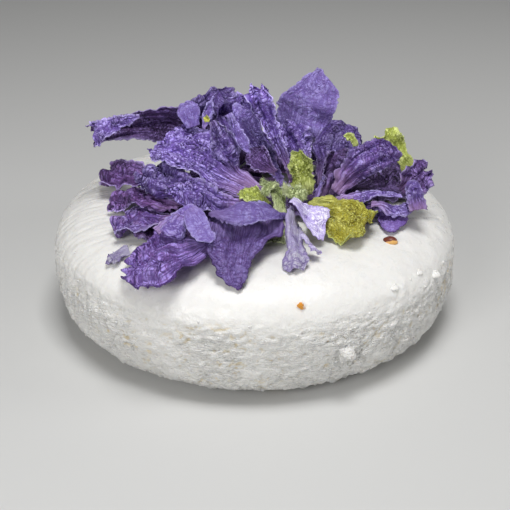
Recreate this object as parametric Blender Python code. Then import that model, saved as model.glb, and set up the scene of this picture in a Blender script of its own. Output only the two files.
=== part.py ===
"""A round fresh goat cheese heaped with dried mallow flowers, one object for every loose piece.

Lengths are millimetres up to the last step, which writes metres. The cheese stands on z = 0 with
its middle on the z axis, and the side of the heap that shows most faces -y.
"""

import math

import bmesh
import bpy
import numpy as np

MM = 0.001

# The cheese: a flat top and base joined by two rounded curves at its widest level.
CHEESE_RADIUS = 40.0
CHEESE_HEIGHT = 24.4
WIDEST_LEVEL = 14.3
TOP_FLAT, TOP_ROUND = 0.57, 2.45
BASE_FLAT, BASE_ROUND = 0.60, 3.15
AROUND = 56
SKIN_RELIEF = 0.35
DENT_DEPTH, DENT_LEVEL, DENT_WIDTH = 0.5, 16.0, 1.6
DENT_FROM, DENT_TO = math.radians(-152.0), math.radians(-114.0)

# The petals and leaves: thin sheets that rest on each other with a small gap between.
THICKNESS = 0.5
GAP = 0.3
WRINKLE_LENGTH = 6.0
MAP_CELL = 0.5
MAP_HALF = 60.0

# The way a sheet's front looks.
UP = (0.0, 0.0, 1.0)
SLOPE = (0.0, -0.6, 0.8)
VIEWER = (0.0, -0.89, 0.46)
FRONT = (0.0, -1.0, 0.1)

CHEESE_WHITE = (0.86, 0.85, 0.81)
VIOLET = (0.115, 0.090, 0.290)
DARK_VIOLET = (0.050, 0.034, 0.105)
LIGHT_VIOLET = (0.190, 0.150, 0.420)
PALE = (0.430, 0.415, 0.620)
LEAF = (0.330, 0.300, 0.065)
SEPAL = (0.240, 0.280, 0.120)

ROUGH_SKIN = 0.55
DRY_PETAL = 0.75


def unit(vector):
    vector = np.asarray(vector, float)
    return vector / np.linalg.norm(vector)


def smooth(t):
    t = np.clip(t, 0.0, 1.0)
    return t * t * (3.0 - 2.0 * t)


def profile(values, t):
    """Values at equal steps along a petal, joined by a smooth line."""
    steps = len(values) - 1
    place = np.clip(t, 0.0, 1.0) * steps
    step = np.clip(place.astype(int), 0, steps - 1)
    values = np.asarray(values, float)
    return values[step] + (values[step + 1] - values[step]) * smooth(place - step)


def ripples(a, b, wavelength, seed):
    """A random field of sharp folds, about one unit high, over two lengths."""
    rng = np.random.default_rng(seed)
    total = np.zeros(np.broadcast(a, b).shape)
    for _ in range(7):
        turn = rng.uniform(0.0, 2.0 * math.pi)
        k = 2.0 * math.pi / (wavelength * rng.uniform(0.7, 1.5))
        wave = np.sin(k * (a * math.cos(turn) + b * math.sin(turn)) + rng.uniform(0.0, 6.28))
        total += np.arcsin(wave) * 0.7
    return total / 2.6


def cheese_radius(z):
    """Radius of the cheese at a height."""
    if z > WIDEST_LEVEL:
        share = (z - WIDEST_LEVEL) / (CHEESE_HEIGHT - WIDEST_LEVEL)
        flat, power = TOP_FLAT, TOP_ROUND
    else:
        share = (WIDEST_LEVEL - z) / WIDEST_LEVEL
        flat, power = BASE_FLAT, BASE_ROUND
    return CHEESE_RADIUS * (flat + (1.0 - flat) * max(0.0, 1.0 - share**power) ** (1.0 / power))


def cheese_top(x, y):
    """Height of the bare cheese above the table, seen from above."""
    share = np.hypot(x, y) / CHEESE_RADIUS
    q = np.clip((share - TOP_FLAT) / (1.0 - TOP_FLAT), 0.0, 1.0)
    rise = CHEESE_HEIGHT - WIDEST_LEVEL
    z = WIDEST_LEVEL + rise * (1.0 - q**TOP_ROUND) ** (1.0 / TOP_ROUND)
    return np.where(share > 1.0, -100.0, z)


def new_object(name, points, faces, colour, roughness):
    mesh = bpy.data.meshes.new(name)
    mesh.from_pydata([tuple(p * MM) for p in points], [], faces)
    material = bpy.data.materials.new(name)
    material.use_nodes = True
    shader = material.node_tree.nodes["Principled BSDF"]
    shader.inputs["Base Color"].default_value = (*colour, 1.0)
    shader.inputs["Roughness"].default_value = roughness
    mesh.materials.append(material)
    mesh.shade_smooth()
    obj = bpy.data.objects.new(name, mesh)
    bpy.context.scene.collection.objects.link(obj)
    return obj


def skin(angle, z):
    """How far the skin lies inside the smooth shape: low folds, and one long dent on the left."""
    rng = np.random.default_rng(11)
    waves = 0.0
    for _ in range(10):
        turns = int(rng.integers(3, 15))
        waves += math.sin(turns * angle + z / rng.uniform(1.5, 4.0) + rng.uniform(0.0, 6.28)) / 10.0
    low = 1.0 - smooth((z - WIDEST_LEVEL) / (CHEESE_HEIGHT - WIDEST_LEVEL))
    depth = SKIN_RELIEF * (0.25 + 0.75 * low) * (1.0 + waves)
    along = smooth((angle - DENT_FROM) / 0.2) * smooth((DENT_TO - angle) / 0.2)
    return depth + DENT_DEPTH * along * math.exp(-(((z - DENT_LEVEL) / DENT_WIDTH) ** 2))


def make_cheese():
    """The cheese as rings from the middle of its base to the middle of its top."""
    lower = [WIDEST_LEVEL * (1.0 - math.cos(t)) for t in np.linspace(0.0, math.pi / 2.0, 9)]
    rise = CHEESE_HEIGHT - WIDEST_LEVEL
    upper = [WIDEST_LEVEL + rise * math.sin(t) for t in np.linspace(0.0, math.pi / 2.0, 9)[1:]]
    rings = [(cheese_radius(z), z) for z in lower + upper]
    rings += [(CHEESE_RADIUS * share, CHEESE_HEIGHT) for share in (0.38, 0.19)]
    points = [np.array([0.0, 0.0, 0.0])]
    for radius, z in rings:
        for k in range(AROUND):
            angle = 2.0 * math.pi * k / AROUND - math.pi
            inset = skin(angle, z) if 0.0 < z < CHEESE_HEIGHT else 0.0
            points.append(np.array([math.cos(angle), math.sin(angle), 0.0]) * (radius - inset)
                          + np.array([0.0, 0.0, z]))
    points.append(np.array([0.0, 0.0, CHEESE_HEIGHT]))
    faces = []
    last = len(points) - 1
    for k in range(AROUND):
        j = (k + 1) % AROUND
        faces.append((0, 1 + j, 1 + k))
        faces.append((last, last - AROUND + k, last - AROUND + j))
        for ring in range(len(rings) - 1):
            a, b = 1 + ring * AROUND + k, 1 + ring * AROUND + j
            faces += [(a, b, b + AROUND), (a, b + AROUND, a + AROUND)]
    return new_object("cheese", points, faces, CHEESE_WHITE, ROUGH_SKIN)


def make_bit(name, centre, half_sizes, turn_deg=0.0, lean_deg=0.0):
    """A small rounded bit that is half sunk in the skin."""
    shape = bmesh.new()
    bmesh.ops.create_icosphere(shape, subdivisions=2, radius=1.0)
    lean, turn = math.radians(lean_deg), math.radians(turn_deg)
    points = []
    for vertex in shape.verts:
        x, y, z = (c * h for c, h in zip(vertex.co, half_sizes))
        y, z = y * math.cos(lean) - z * math.sin(lean), y * math.sin(lean) + z * math.cos(lean)
        x, y = x * math.cos(turn) - y * math.sin(turn), x * math.sin(turn) + y * math.cos(turn)
        points.append(np.array([x, y, z]) + np.array(centre, float))
    faces = [tuple(v.index for v in face.verts) for face in shape.faces]
    shape.free()
    return new_object(name, points, faces, CHEESE_WHITE, ROUGH_SKIN)


def join_to(body, bits):
    """Makes the bits one closed body with what they are stuck to."""
    group = bpy.data.collections.new("bits")
    for bit in bits:
        group.objects.link(bit)
    union = body.modifiers.new("bits", "BOOLEAN")
    union.operation = "UNION"
    union.solver = "EXACT"
    union.operand_type = "COLLECTION"
    union.collection = group
    bpy.context.view_layer.update()
    graph = bpy.context.evaluated_depsgraph_get()
    joined = bpy.data.meshes.new_from_object(body.evaluated_get(graph))
    body.modifiers.remove(union)
    body.data = joined
    for bit in bits:
        bpy.data.objects.remove(bit)
    bpy.data.collections.remove(group)


def blade(root, tip, face, rows, columns, width, sides, mid, arch, sway, lip, lip_from, claw, wide_at,
          end, corner, notch, cup, fold, pleat, pleats, ruffle, waves, crumple, ragged, seed):
    """The middle surface of one petal or leaf as a grid: rows along it, columns across it.

    It follows a bent line from root to tip. Its half width comes from sides (left then right when
    its front is seen with the tip up, at equal steps along it), or else from width, claw, wide_at
    and end.
    Cup bends it across, fold creases it along the middle, pleat lays folds from root to tip,
    ruffle waves its edges, lip hooks its end and crumple lays sharp folds over all of it.
    """
    root, tip = np.asarray(root, float), np.asarray(tip, float)
    chord = tip - root
    length = np.linalg.norm(chord)
    along = chord / length
    side = unit(np.cross(along, face))
    front = np.cross(side, along)
    u = np.linspace(-1.0, 1.0, columns + 1)[None, :]
    v = np.linspace(0.0, 1.0, rows + 1)[:, None]
    reach = v * (1.0 - corner * np.abs(u) ** 2.5 - notch * np.clip(1.0 - np.abs(u) / 0.35, 0.0, 1.0))
    reach = reach * (1.0 - ragged * (0.5 + 0.5 * ripples(2.2 * u, 0.0 * v, 2.0, seed + 5)))

    steps = np.linspace(0.0, 1.0, 201)
    if mid is None:
        middle = root + 0.5 * chord + 2.0 * (arch * front + sway * side)
    else:
        middle = 2.0 * np.asarray(mid, float) - 0.5 * (root + tip)
    hook = lip * np.clip((steps - lip_from) / (1.0 - lip_from), 0.0, 1.0) ** 2
    spine = (((1.0 - steps) ** 2)[:, None] * root + (2.0 * steps * (1.0 - steps))[:, None] * middle
             + (steps**2)[:, None] * tip + hook[:, None] * front)
    tangent = np.gradient(spine, axis=0)
    tangent /= np.linalg.norm(tangent, axis=1)[:, None]
    normal = front[None, :] - (tangent @ front)[:, None] * tangent
    normal /= np.linalg.norm(normal, axis=1)[:, None]
    across = np.cross(tangent, normal)

    def at(field):
        flat = np.clip(reach, 0.0, 1.0).ravel()
        columns_of = [np.interp(flat, steps, field[:, k]) for k in range(3)]
        return np.stack(columns_of, 1).reshape(reach.shape + (3,))

    if sides is None:
        grown = claw + (1.0 - claw) * smooth(reach / wide_at)
        closed = 1.0 + (end - 1.0) * smooth((reach - wide_at) / (1.0 - wide_at))
        half = 0.5 * width * np.where(reach < wide_at, grown, closed)
    else:
        width = max(sides[0]) + max(sides[1])
        left, right = profile(sides[0], reach), profile(sides[1], reach)
        half = np.where(u < -1e-6, left, np.where(u > 1e-6, right, 0.5 * (left + right)))
    half = half * (1.0 + ragged * ripples(2.0 * v, 3.0 * np.sign(u), 1.6, seed + 9) * smooth(2.0 * v))
    bend = math.radians(abs(cup)) + 1e-4
    sideways = half * np.sin(bend * u) / bend
    rise = math.copysign(1.0, cup) * half * (1.0 - np.cos(bend * u)) / bend
    rise = rise + np.abs(sideways) * math.sin(math.radians(fold))
    sideways = sideways * math.cos(math.radians(fold))
    share = half / (0.5 * width)
    rise = rise + pleat * share * np.cos(math.pi * pleats * u + seed)
    edge = np.sin(2.0 * math.pi * waves * v + seed * 1.7 + (u > 0.0) * 2.1)
    rise = rise + ruffle * u**2 * share * edge
    rise = rise + ruffle * v**4 * np.sin(math.pi * waves * u + seed)
    rise = rise + crumple * share * ripples(u * half, reach * length, WRINKLE_LENGTH, seed)
    return at(spine) + at(across) * sideways[..., None] + at(normal) * rise[..., None]


def refine(grid, times):
    """The same surface on a grid that many times finer."""
    r, c = grid.shape[0] - 1, grid.shape[1] - 1
    a, b = np.linspace(0, r, r * times + 1), np.linspace(0, c, c * times + 1)
    i, j = np.clip(a.astype(int), 0, r - 1), np.clip(b.astype(int), 0, c - 1)
    s, t = (a - i)[:, None, None], (b - j)[None, :, None]
    near = (1.0 - t) * grid[i][:, j] + t * grid[i][:, j + 1]
    far = (1.0 - t) * grid[i + 1][:, j] + t * grid[i + 1][:, j + 1]
    return (1.0 - s) * near + s * far


LINE = np.arange(-MAP_HALF, MAP_HALF + MAP_CELL / 2.0, MAP_CELL)
heap = cheese_top(*np.meshgrid(LINE, LINE, indexing="ij"))


def heap_height(x, y):
    """Highest point of what lies round a place, seen from above."""
    i = np.floor((x + MAP_HALF) / MAP_CELL).astype(int)
    j = np.floor((y + MAP_HALF) / MAP_CELL).astype(int)
    return np.maximum.reduce([heap[i + a, j + b] for a in (0, 1) for b in (0, 1)])


def lay_on_heap(grid):
    """Lifts the parts of a sheet that would pass through what lies under it, and adds it to the heap."""
    fine = refine(grid, 3)
    clear = GAP + THICKNESS / 2.0
    need = heap_height(fine[..., 0], fine[..., 1]) + clear - fine[..., 2]
    rows, columns = grid.shape[:2]
    lift = np.zeros((rows, columns))
    for a in (-1, 0, 1):
        for b in (-1, 0, 1):
            i = np.clip(np.arange(rows) * 3 + a, 0, fine.shape[0] - 1)
            j = np.clip(np.arange(columns) * 3 + b, 0, fine.shape[1] - 1)
            lift = np.maximum(lift, need[i][:, j])
    for _ in range(10):
        wide = np.pad(lift, 1, mode="edge")
        mean = (wide[:-2, 1:-1] + wide[2:, 1:-1] + wide[1:-1, :-2] + wide[1:-1, 2:]) / 4.0
        lift = np.maximum(lift, 0.8 * mean)
    laid = grid.copy()
    laid[..., 2] += lift
    fine = refine(laid, 6).reshape(-1, 3)
    for dx in (-0.35, 0.35):
        for dy in (-0.35, 0.35):
            i = np.round((fine[:, 0] + dx + MAP_HALF) / MAP_CELL).astype(int)
            j = np.round((fine[:, 1] + dy + MAP_HALF) / MAP_CELL).astype(int)
            np.maximum.at(heap, (i, j), fine[:, 2] + THICKNESS / 2.0)
    return laid


def petal(name, colour, root, tip, face, rows, columns, width=1.0, sides=None, mid=None, arch=0.0,
          sway=0.0, lip=0.0, lip_from=0.6, claw=0.2, wide_at=0.7, end=0.75, corner=0.25, notch=0.0,
          cup=0.0, fold=0.0, pleat=0.0, pleats=3, ruffle=0.0, waves=2.0, crumple=0.0, ragged=0.0,
          lies=True, seed=1):
    """One petal or leaf as a closed thin sheet, laid on the heap or standing in it."""
    grid = blade(root, tip, face, rows, columns, width, sides, mid, arch, sway, lip, lip_from, claw,
                 wide_at, end, corner, notch, cup, fold, pleat, pleats, ruffle, waves, crumple,
                 ragged, seed)
    if lies:
        grid = lay_on_heap(grid)
    normal = np.cross(np.gradient(grid, axis=1), np.gradient(grid, axis=0))
    normal /= np.linalg.norm(normal, axis=2)[..., None]
    front = (grid + normal * THICKNESS / 2.0).reshape(-1, 3)
    back = (grid - normal * THICKNESS / 2.0).reshape(-1, 3)
    across, under = columns + 1, len(front)
    faces = []
    for i in range(rows):
        for j in range(columns):
            a = i * across + j
            b, c, d = a + 1, a + across + 1, a + across
            halves = [(a, b, c), (a, c, d)] if (i + j) % 2 else [(a, b, d), (b, c, d)]
            faces += halves + [(p + under, r + under, q + under) for p, q, r in halves]
    rim = list(range(across)) + [i * across + columns for i in range(1, rows + 1)]
    rim += [rows * across + j for j in range(columns - 1, -1, -1)]
    rim += [i * across for i in range(rows - 1, 0, -1)]
    for a, b in zip(rim, rim[1:] + rim[:1]):
        faces += [(b, a, a + under), (b, a + under, b + under)]
    new_object(name, np.vstack([front, back]), faces, colour, DRY_PETAL)


for old in list(bpy.data.objects):
    bpy.data.objects.remove(old)

# The cheese, with a brown seed, a speck of petal and some loose curds stuck to its skin.
cheese = make_cheese()
join_to(cheese, [
    make_bit("seed", (24.7, -19.4, 23.4), (1.5, 0.9, 0.6), turn_deg=-12.0),
    make_bit("petal_speck", (7.7, -37.0, 20.1), (0.8, 0.5, 0.7), lean_deg=40.0),
    make_bit("curd_front", (15.8, -36.2, 10.8), (1.1, 1.0, 1.9), turn_deg=20.0, lean_deg=-12.0),
    make_bit("curd_right", (32.9, -20.9, 18.0), (1.1, 0.9, 0.9)),
    make_bit("curd_high", (29.3, -23.7, 19.9), (0.9, 0.8, 0.7)),
    make_bit("curd_low", (24.3, -29.0, 19.8), (0.9, 0.8, 0.7)),
])

# Crumpled petals at the bottom of the heap.
petal("core_left", DARK_VIOLET, (3, -0.5, 25.5), (-14.5, 4.5, 26),
      face=UP, rows=6, columns=4, width=22, crumple=0.8, ruffle=0.8, claw=0.5, ragged=0.1, seed=74)
petal("core_right", DARK_VIOLET, (8.5, -3.5, 25.5), (19, 3.5, 26),
      face=UP, rows=5, columns=4, width=12, crumple=0.8, ruffle=0.8, claw=0.5, ragged=0.1, seed=92)
petal("core_back", DARK_VIOLET, (4, 4.5, 25.5), (6.5, 18, 26.5),
      face=UP, rows=5, columns=5, width=22, crumple=0.8, ruffle=1, claw=0.5, ragged=0.1, seed=48)
petal("under_left", DARK_VIOLET, (-7, -16.5, 25), (-24.5, -15, 25),
      face=UP, rows=6, columns=5, width=17, crumple=0.7, ruffle=0.7, claw=0.7, end=0.8, ragged=0.12,
      seed=94)
petal("core_mid", DARK_VIOLET, (1, -10, 25), (11.5, -8.5, 25),
      face=UP, rows=4, columns=4, width=9, crumple=0.5, claw=0.7, end=0.7, ragged=0.1, seed=58)

# Small pieces that lie straight on the cheese in front.
petal("leaf_under", SEPAL, (5, -17, 25), (1, -24, 25),
      face=UP, rows=6, columns=4, width=6, claw=0.4, end=0.3, cup=-20, ragged=0.15, seed=75)
petal("scrap_left", PALE, (-22.5, -24, 24), (-26, -26.5, 21.5),
      face=UP, rows=7, columns=4, width=3.4, claw=0.9, end=0.9, cup=-20, crumple=0.3, ragged=0.2,
      sway=0.6, seed=89)

# The left side of the heap, from the cheese up to the large fan.
petal("front_left", VIOLET, (-7.5, -26, 26), (-23.5, -29, 21.5),
      face=UP, rows=9, columns=7, sides=((1, 5, 8.6, 5.4, 1.6), (1, 4.8, 8.8, 5.6, 1.8)),
      mid=(-15.5, -30, 25.5), pleat=0.7, pleats=4, ruffle=0.6, corner=0, crumple=0.9, ragged=0.12,
      seed=8)
petal("left_low", VIOLET, (-13.5, -19.5, 26), (-26.5, -16, 24.5),
      face=UP, rows=8, columns=6, sides=((1.6, 3.6, 5, 5, 3), (1.6, 4.4, 5.4, 5.4, 4)), cup=20,
      fold=-10, ruffle=0.7, pleat=0.5, ragged=0.12, corner=0.1, crumple=0.8, seed=84)
petal("left_mid", DARK_VIOLET, (-13.5, -15, 27.5), (-28, -6, 25),
      face=SLOPE, rows=8, columns=6, sides=((1.6, 3.4, 4.2, 4, 2.6), (1.6, 3.4, 4, 3.6, 2)),
      ruffle=0.8, pleat=0.5, pleats=2, arch=0.8, ragged=0.15, crumple=1.2, corner=0.05, seed=60)
petal("left_up", DARK_VIOLET, (-13, -11, 29), (-30.5, 5, 27.5),
      face=SLOPE, rows=8, columns=6, sides=((1.2, 3.2, 4.4, 4.8, 3.2), (1.2, 2.6, 3.6, 3.6, 2.4)),
      cup=-15, ruffle=0.6, pleat=0.4, arch=0.8, corner=0, ragged=0.08, crumple=0.7, seed=72)
petal("left_knot", VIOLET, (-11, -15, 29.5), (-22, -6.5, 32),
      face=SLOPE, rows=8, columns=7, sides=((1.6, 4, 5.2, 5, 3.4), (1.6, 4.4, 6.2, 6, 4)), cup=-30,
      crumple=1.5, pleat=0.6, ruffle=0.9, ragged=0.12, corner=0.1, seed=93)
petal("under_fan", VIOLET, (0, -14, 27.5), (-16.5, -15, 27),
      face=SLOPE, rows=8, columns=5, width=7, cup=-25, pleat=0.4, pleats=3, claw=0.7, crumple=0.3,
      seed=73)
petal("fan", VIOLET, (1, -8, 28), (-20.5, -0.5, 33.5),
      face=SLOPE, rows=10, columns=8,
      sides=((1.3, 3.8, 6.6, 8.2, 7.6, 4.6), (1.4, 3, 7.4, 10.6, 10.4, 6.4)), cup=-22, pleat=0.5,
      pleats=3, ruffle=0.6, crumple=0.6, corner=0.1, arch=1.5, ragged=0.05, seed=18)

# The right side of the heap, where petals curl round a dark hollow.
petal("bud", LIGHT_VIOLET, (21, -11, 25), (25, -9, 25.5),
      face=UP, rows=5, columns=4, width=4.4, cup=-60, claw=0.7, end=0.6, corner=0.3, seed=24)
petal("right_back", DARK_VIOLET, (17, -6.5, 26), (31, 4.5, 26),
      face=SLOPE, rows=8, columns=6, width=15, cup=30, crumple=0.6, ruffle=0.8, ragged=0.1, seed=68)
petal("flat_right", VIOLET, (26, -10.5, 25.5), (24.5, -18, 24.5),
      face=UP, rows=7, columns=5, sides=((3, 3.2, 2.8, 1.8, 0.6), (2.8, 2.8, 2.6, 1.9, 0.6)), cup=-10,
      corner=0.1, seed=90)
petal("right_low", DARK_VIOLET, (16, -11, 25.5), (23, -14.5, 25),
      face=UP, rows=5, columns=3, width=8, crumple=0.5, claw=0.7, end=0.8, ragged=0.1, seed=5)
petal("ring_front", VIOLET, (21.5, -13.5, 26.5), (30, -12, 27.5),
      face=SLOPE, rows=8, columns=4, width=3, cup=-30, claw=0.7, wide_at=0.4, end=1, sway=0.8, seed=13)
petal("ring_low", VIOLET, (15.5, -11, 27), (27.5, -12, 28.5),
      face=SLOPE, rows=9, columns=4, width=3.4, cup=-30, claw=1, wide_at=0.2, end=0.8, sway=-1.2,
      seed=89)

# Yellow-green sepals and leaf bits in the middle.
petal("leaf_big", LEAF, (10, -12.5, 27.5), (21, -22, 27),
      face=(0, -0.45, 0.9), rows=8, columns=7,
      sides=((2, 4.2, 5.6, 5.6, 3.6), (1.8, 5.4, 6.4, 6.2, 4.4)), cup=-12, ruffle=0.8, pleat=0.3,
      crumple=0.6, ragged=0.1, corner=0.04, seed=33)
petal("leaf_left", LEAF, (2.5, -13, 27), (-3, -10, 27),
      face=SLOPE, rows=8, columns=5, width=6.5, cup=30, claw=0.5, wide_at=0.5, end=0.7, ruffle=0.7,
      ragged=0.12, crumple=0.5, seed=57)
petal("calyx", SEPAL, (4.5, -14.5, 26), (4, -8, 29.5),
      face=VIEWER, rows=7, columns=5, width=3.6, cup=-55, claw=0.7, end=0.8, crumple=0.25, seed=60)
petal("sepal_left", SEPAL, (4, -10.5, 29.5), (0.5, -13.5, 32),
      face=SLOPE, rows=6, columns=4, width=3.6, claw=0.4, end=0.4, cup=-30, ruffle=0.4, ragged=0.15,
      seed=85)
petal("sepal_right", SEPAL, (5, -11.5, 29), (10, -11, 30),
      face=SLOPE, rows=6, columns=4, width=2.6, claw=0.5, end=0.3, cup=-40, ruffle=0.5, ragged=0.2,
      seed=6)

# The petals that hang over the front edge.
petal("drape", VIOLET, (-1, -20, 29), (-3, -36, 22),
      face=(0, -0.75, 0.66), rows=10, columns=7,
      sides=((6.5, 6.6, 3.4, 1.8, 1.4, 0.8), (4, 7.2, 7.6, 6.4, 4.2, 1.2)), mid=(-2, -30, 27), cup=12,
      corner=0, pleat=0.35, crumple=0.45, ragged=0.06, seed=39)
petal("drape_lip", LIGHT_VIOLET, (-8, -23, 28), (5.5, -21.5, 28.5),
      face=SLOPE, rows=9, columns=4, width=5, mid=(-1.5, -27, 33), claw=0.6, end=0.8, wide_at=0.5,
      ruffle=0.3, cup=-25, seed=71)
petal("pale_low", PALE, (7, -20.5, 28), (8, -33.5, 23.5),
      face=VIEWER, rows=9, columns=5, sides=((1.2, 1.8, 1.6, 1.9, 1.6), (1, 1.6, 1.5, 2.4, 2.2)),
      mid=(7, -28, 26.5), cup=-35, pleat=0.3, pleats=2, ragged=0.22, crumple=0.8, ruffle=0.4, seed=75)
petal("pale_side", PALE, (8, -26.5, 26), (12, -28, 24.5),
      face=UP, rows=6, columns=4, width=3, cup=-30, ruffle=0.4, ragged=0.2, seed=61)
petal("pale_top", PALE, (6.5, -20.5, 29), (13, -21.5, 28),
      face=SLOPE, rows=7, columns=5, width=7, cup=-20, claw=0.8, pleat=0.1, wide_at=0.8, end=1,
      corner=0, crumple=0.35, seed=76)

# Petals that stand up out of the heap.
petal("spire", VIOLET, (7.5, 0, 27), (-0.5, 1, 47),
      face=VIEWER, rows=11, columns=6,
      sides=((0.9, 1.5, 1.8, 2.2, 3, 2.8), (0.9, 1.4, 1.9, 2.3, 3, 2.8)), cup=70, ruffle=1.1,
      waves=2.5, arch=0.4, corner=0.08, crumple=0.7, ragged=0.06, lies=False, seed=62)
petal("spire_side", LIGHT_VIOLET, (5.5, -0.5, 26.5), (-4, 3.5, 42),
      face=VIEWER, rows=10, columns=4, sides=((0.8, 1.6, 2.2, 2.6, 2.2), (0.8, 1.4, 1.8, 2.4, 2)),
      cup=25, arch=0.5, crumple=0.3, lies=False, seed=93)
petal("right_dark", DARK_VIOLET, (13.5, -8, 26.5), (18.5, -1.5, 34.5),
      face=VIEWER, rows=8, columns=5, width=8, cup=20, claw=0.5, crumple=0.7, pleat=0.4, end=0.6,
      lies=False, seed=85)
petal("sail", LIGHT_VIOLET, (9, 8, 27), (13, 12.5, 46.5),
      face=VIEWER, rows=9, columns=7, sides=((1, 2.4, 5.4, 6.2, 3.2, 0.4), (1, 2.2, 5, 6, 6, 0.8)),
      mid=(10, 8.5, 37.5), cup=-12, crumple=0.45, corner=0, ragged=0.03, lies=False, seed=37)
petal("strap_left", VIOLET, (-17.5, -23.5, 27.5), (-11, -17.5, 30),
      face=SLOPE, rows=6, columns=3, width=2.4, claw=0.8, end=0.9, crumple=0.2, lies=False, seed=9)
petal("strap_right", LIGHT_VIOLET, (-11.5, -24, 32), (-7, -31.5, 29.5),
      face=SLOPE, rows=6, columns=4, sides=((1.6, 2, 1.6, 1.2, 0.8), (1.2, 2.2, 2.8, 2.4, 1)),
      crumple=0.2, corner=0, lies=False, seed=27)
petal("flap", VIOLET, (-13, -21.5, 29.5), (-15, -27.5, 28.5),
      face=SLOPE, rows=5, columns=4, width=5, claw=0.6, end=0.7, crumple=0.3, cup=-20, lies=False,
      seed=31)
petal("wing", DARK_VIOLET, (-4.5, 8.5, 28.5), (-32, 2.5, 35.5),
      face=FRONT, rows=10, columns=6, sides=((2.5, 4, 4.2, 3, 2.2), (2.5, 4.2, 5, 3, 3.4)),
      mid=(-17, 5.5, 36.5), cup=40, ruffle=0.6, waves=3, corner=-0.1, notch=0.25, ragged=0.06,
      crumple=0.3, lies=False, seed=49)
petal("wing_curl", VIOLET, (-22, 0, 40.5), (-32, -0.5, 38.5),
      face=VIEWER, rows=9, columns=5, sides=((0.4, 1.2, 2.4, 4, 4.8), (0.4, 0.8, 1, 1, 0.8)),
      crumple=0.8, ruffle=0.6, waves=3, ragged=0.1, corner=0, lies=False, seed=0)
petal("back_left", VIOLET, (-3, 9.5, 27.5), (-10.5, 10.5, 43),
      face=VIEWER, rows=10, columns=8, sides=((1.2, 1.8, 3.5, 6, 5), (1.2, 1.8, 3.5, 6, 5)), cup=-15,
      ruffle=1.2, waves=3, lip=-2, lip_from=0.8, crumple=1.3, corner=0.1, ragged=0.14, lies=False,
      seed=50)
petal("cheek", LIGHT_VIOLET, (-12, 2.5, 37.5), (-13.5, 3.5, 42.5),
      face=VIEWER, rows=7, columns=4, width=5, cup=-20, claw=0.6, crumple=0.2, end=0.8, lies=False,
      seed=27)
petal("leaflet", LIGHT_VIOLET, (-10, 2.5, 37), (-8, 4, 43.5),
      face=VIEWER, rows=7, columns=3, width=2.4, cup=40, claw=0.3, wide_at=0.5, end=0.1, lies=False,
      seed=54)
petal("dome", VIOLET, (15.5, -8.5, 28.5), (28, -6.5, 35),
      face=VIEWER, rows=10, columns=7, sides=((1.2, 2.8, 4.6, 5, 3.4), (1.2, 2.2, 2.6, 2.2, 1.6)),
      cup=-40, arch=1.5, sway=-1.8, pleat=0.5, pleats=3, crumple=0.5, ragged=0.04, lies=False, seed=33)
petal("shoulder", VIOLET, (13, -4, 27.5), (20, 7, 37),
      face=VIEWER, rows=9, columns=7, sides=((1.2, 3, 5.5, 6, 4.5), (1.2, 2.5, 3.5, 3.5, 2.5)),
      cup=-25, pleat=0.5, pleats=3, crumple=0.5, ragged=0.06, lies=False, seed=94)
petal("inner_tip", VIOLET, (-8, -2.5, 40.5), (-3.5, -5.5, 32.5),
      face=VIEWER, rows=8, columns=5, sides=((0.8, 2, 2.8, 2.6, 0.5), (0.8, 2, 2.8, 2.2, 0.5)),
      cup=-30, pleat=0.5, pleats=2, crumple=0.5, lies=False, seed=95)

# Leaf bits and small petals between the standing ones.
petal("leaf_centre", LEAF, (10, -7.5, 27.5), (7.5, -4, 36),
      face=VIEWER, rows=9, columns=5, sides=((1.6, 2.8, 2.8, 2.2, 1.4), (1.2, 2.2, 2.4, 2, 1.2)),
      cup=35, ruffle=0.6, ragged=0.12, crumple=0.5, lies=False, seed=77)
petal("curl_right", LEAF, (19, -4, 36), (16.5, -4, 38),
      face=VIEWER, rows=4, columns=2, width=1.6, claw=0.8, end=0.6, sway=0.8, lies=False, seed=8)
petal("bit_left", LEAF, (-9.5, -3.5, 41), (-8.5, -3.5, 41.5),
      face=VIEWER, rows=2, columns=2, width=1.4, claw=0.8, end=0.6, lies=False, seed=65)
petal("right_stem", LIGHT_VIOLET, (12, -7, 26), (16.5, -1.5, 31.5),
      face=VIEWER, rows=7, columns=3, width=3.5, cup=-40, claw=0.7, lies=False, seed=11)
petal("far_tip", DARK_VIOLET, (28, -8.5, 28.5), (33.5, -6, 33.5),
      face=VIEWER, rows=8, columns=6, sides=((2, 3, 3, 3.2, 2.6), (2, 3.2, 3.2, 2.4, 2)), ruffle=0.9,
      waves=3, crumple=0.8, notch=0.3, cup=20, ragged=0.1, lies=False, seed=62)
petal("leaf_back", LEAF, (33, 12, 24), (24, 6.5, 35),
      face=VIEWER, rows=8, columns=6, sides=((0.8, 2.4, 3.4, 3, 1.8), (0.8, 2.2, 3.4, 3.2, 1.8)),
      cup=-25, ruffle=0.6, ragged=0.12, crumple=0.5, lies=False, seed=31)
petal("ring_side", VIOLET, (30, -15.5, 28), (29.5, -8, 31),
      face=FRONT, rows=7, columns=4, width=3.4, cup=-30, claw=1, wide_at=0.3, end=0.9, lies=False,
      seed=75)

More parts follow.
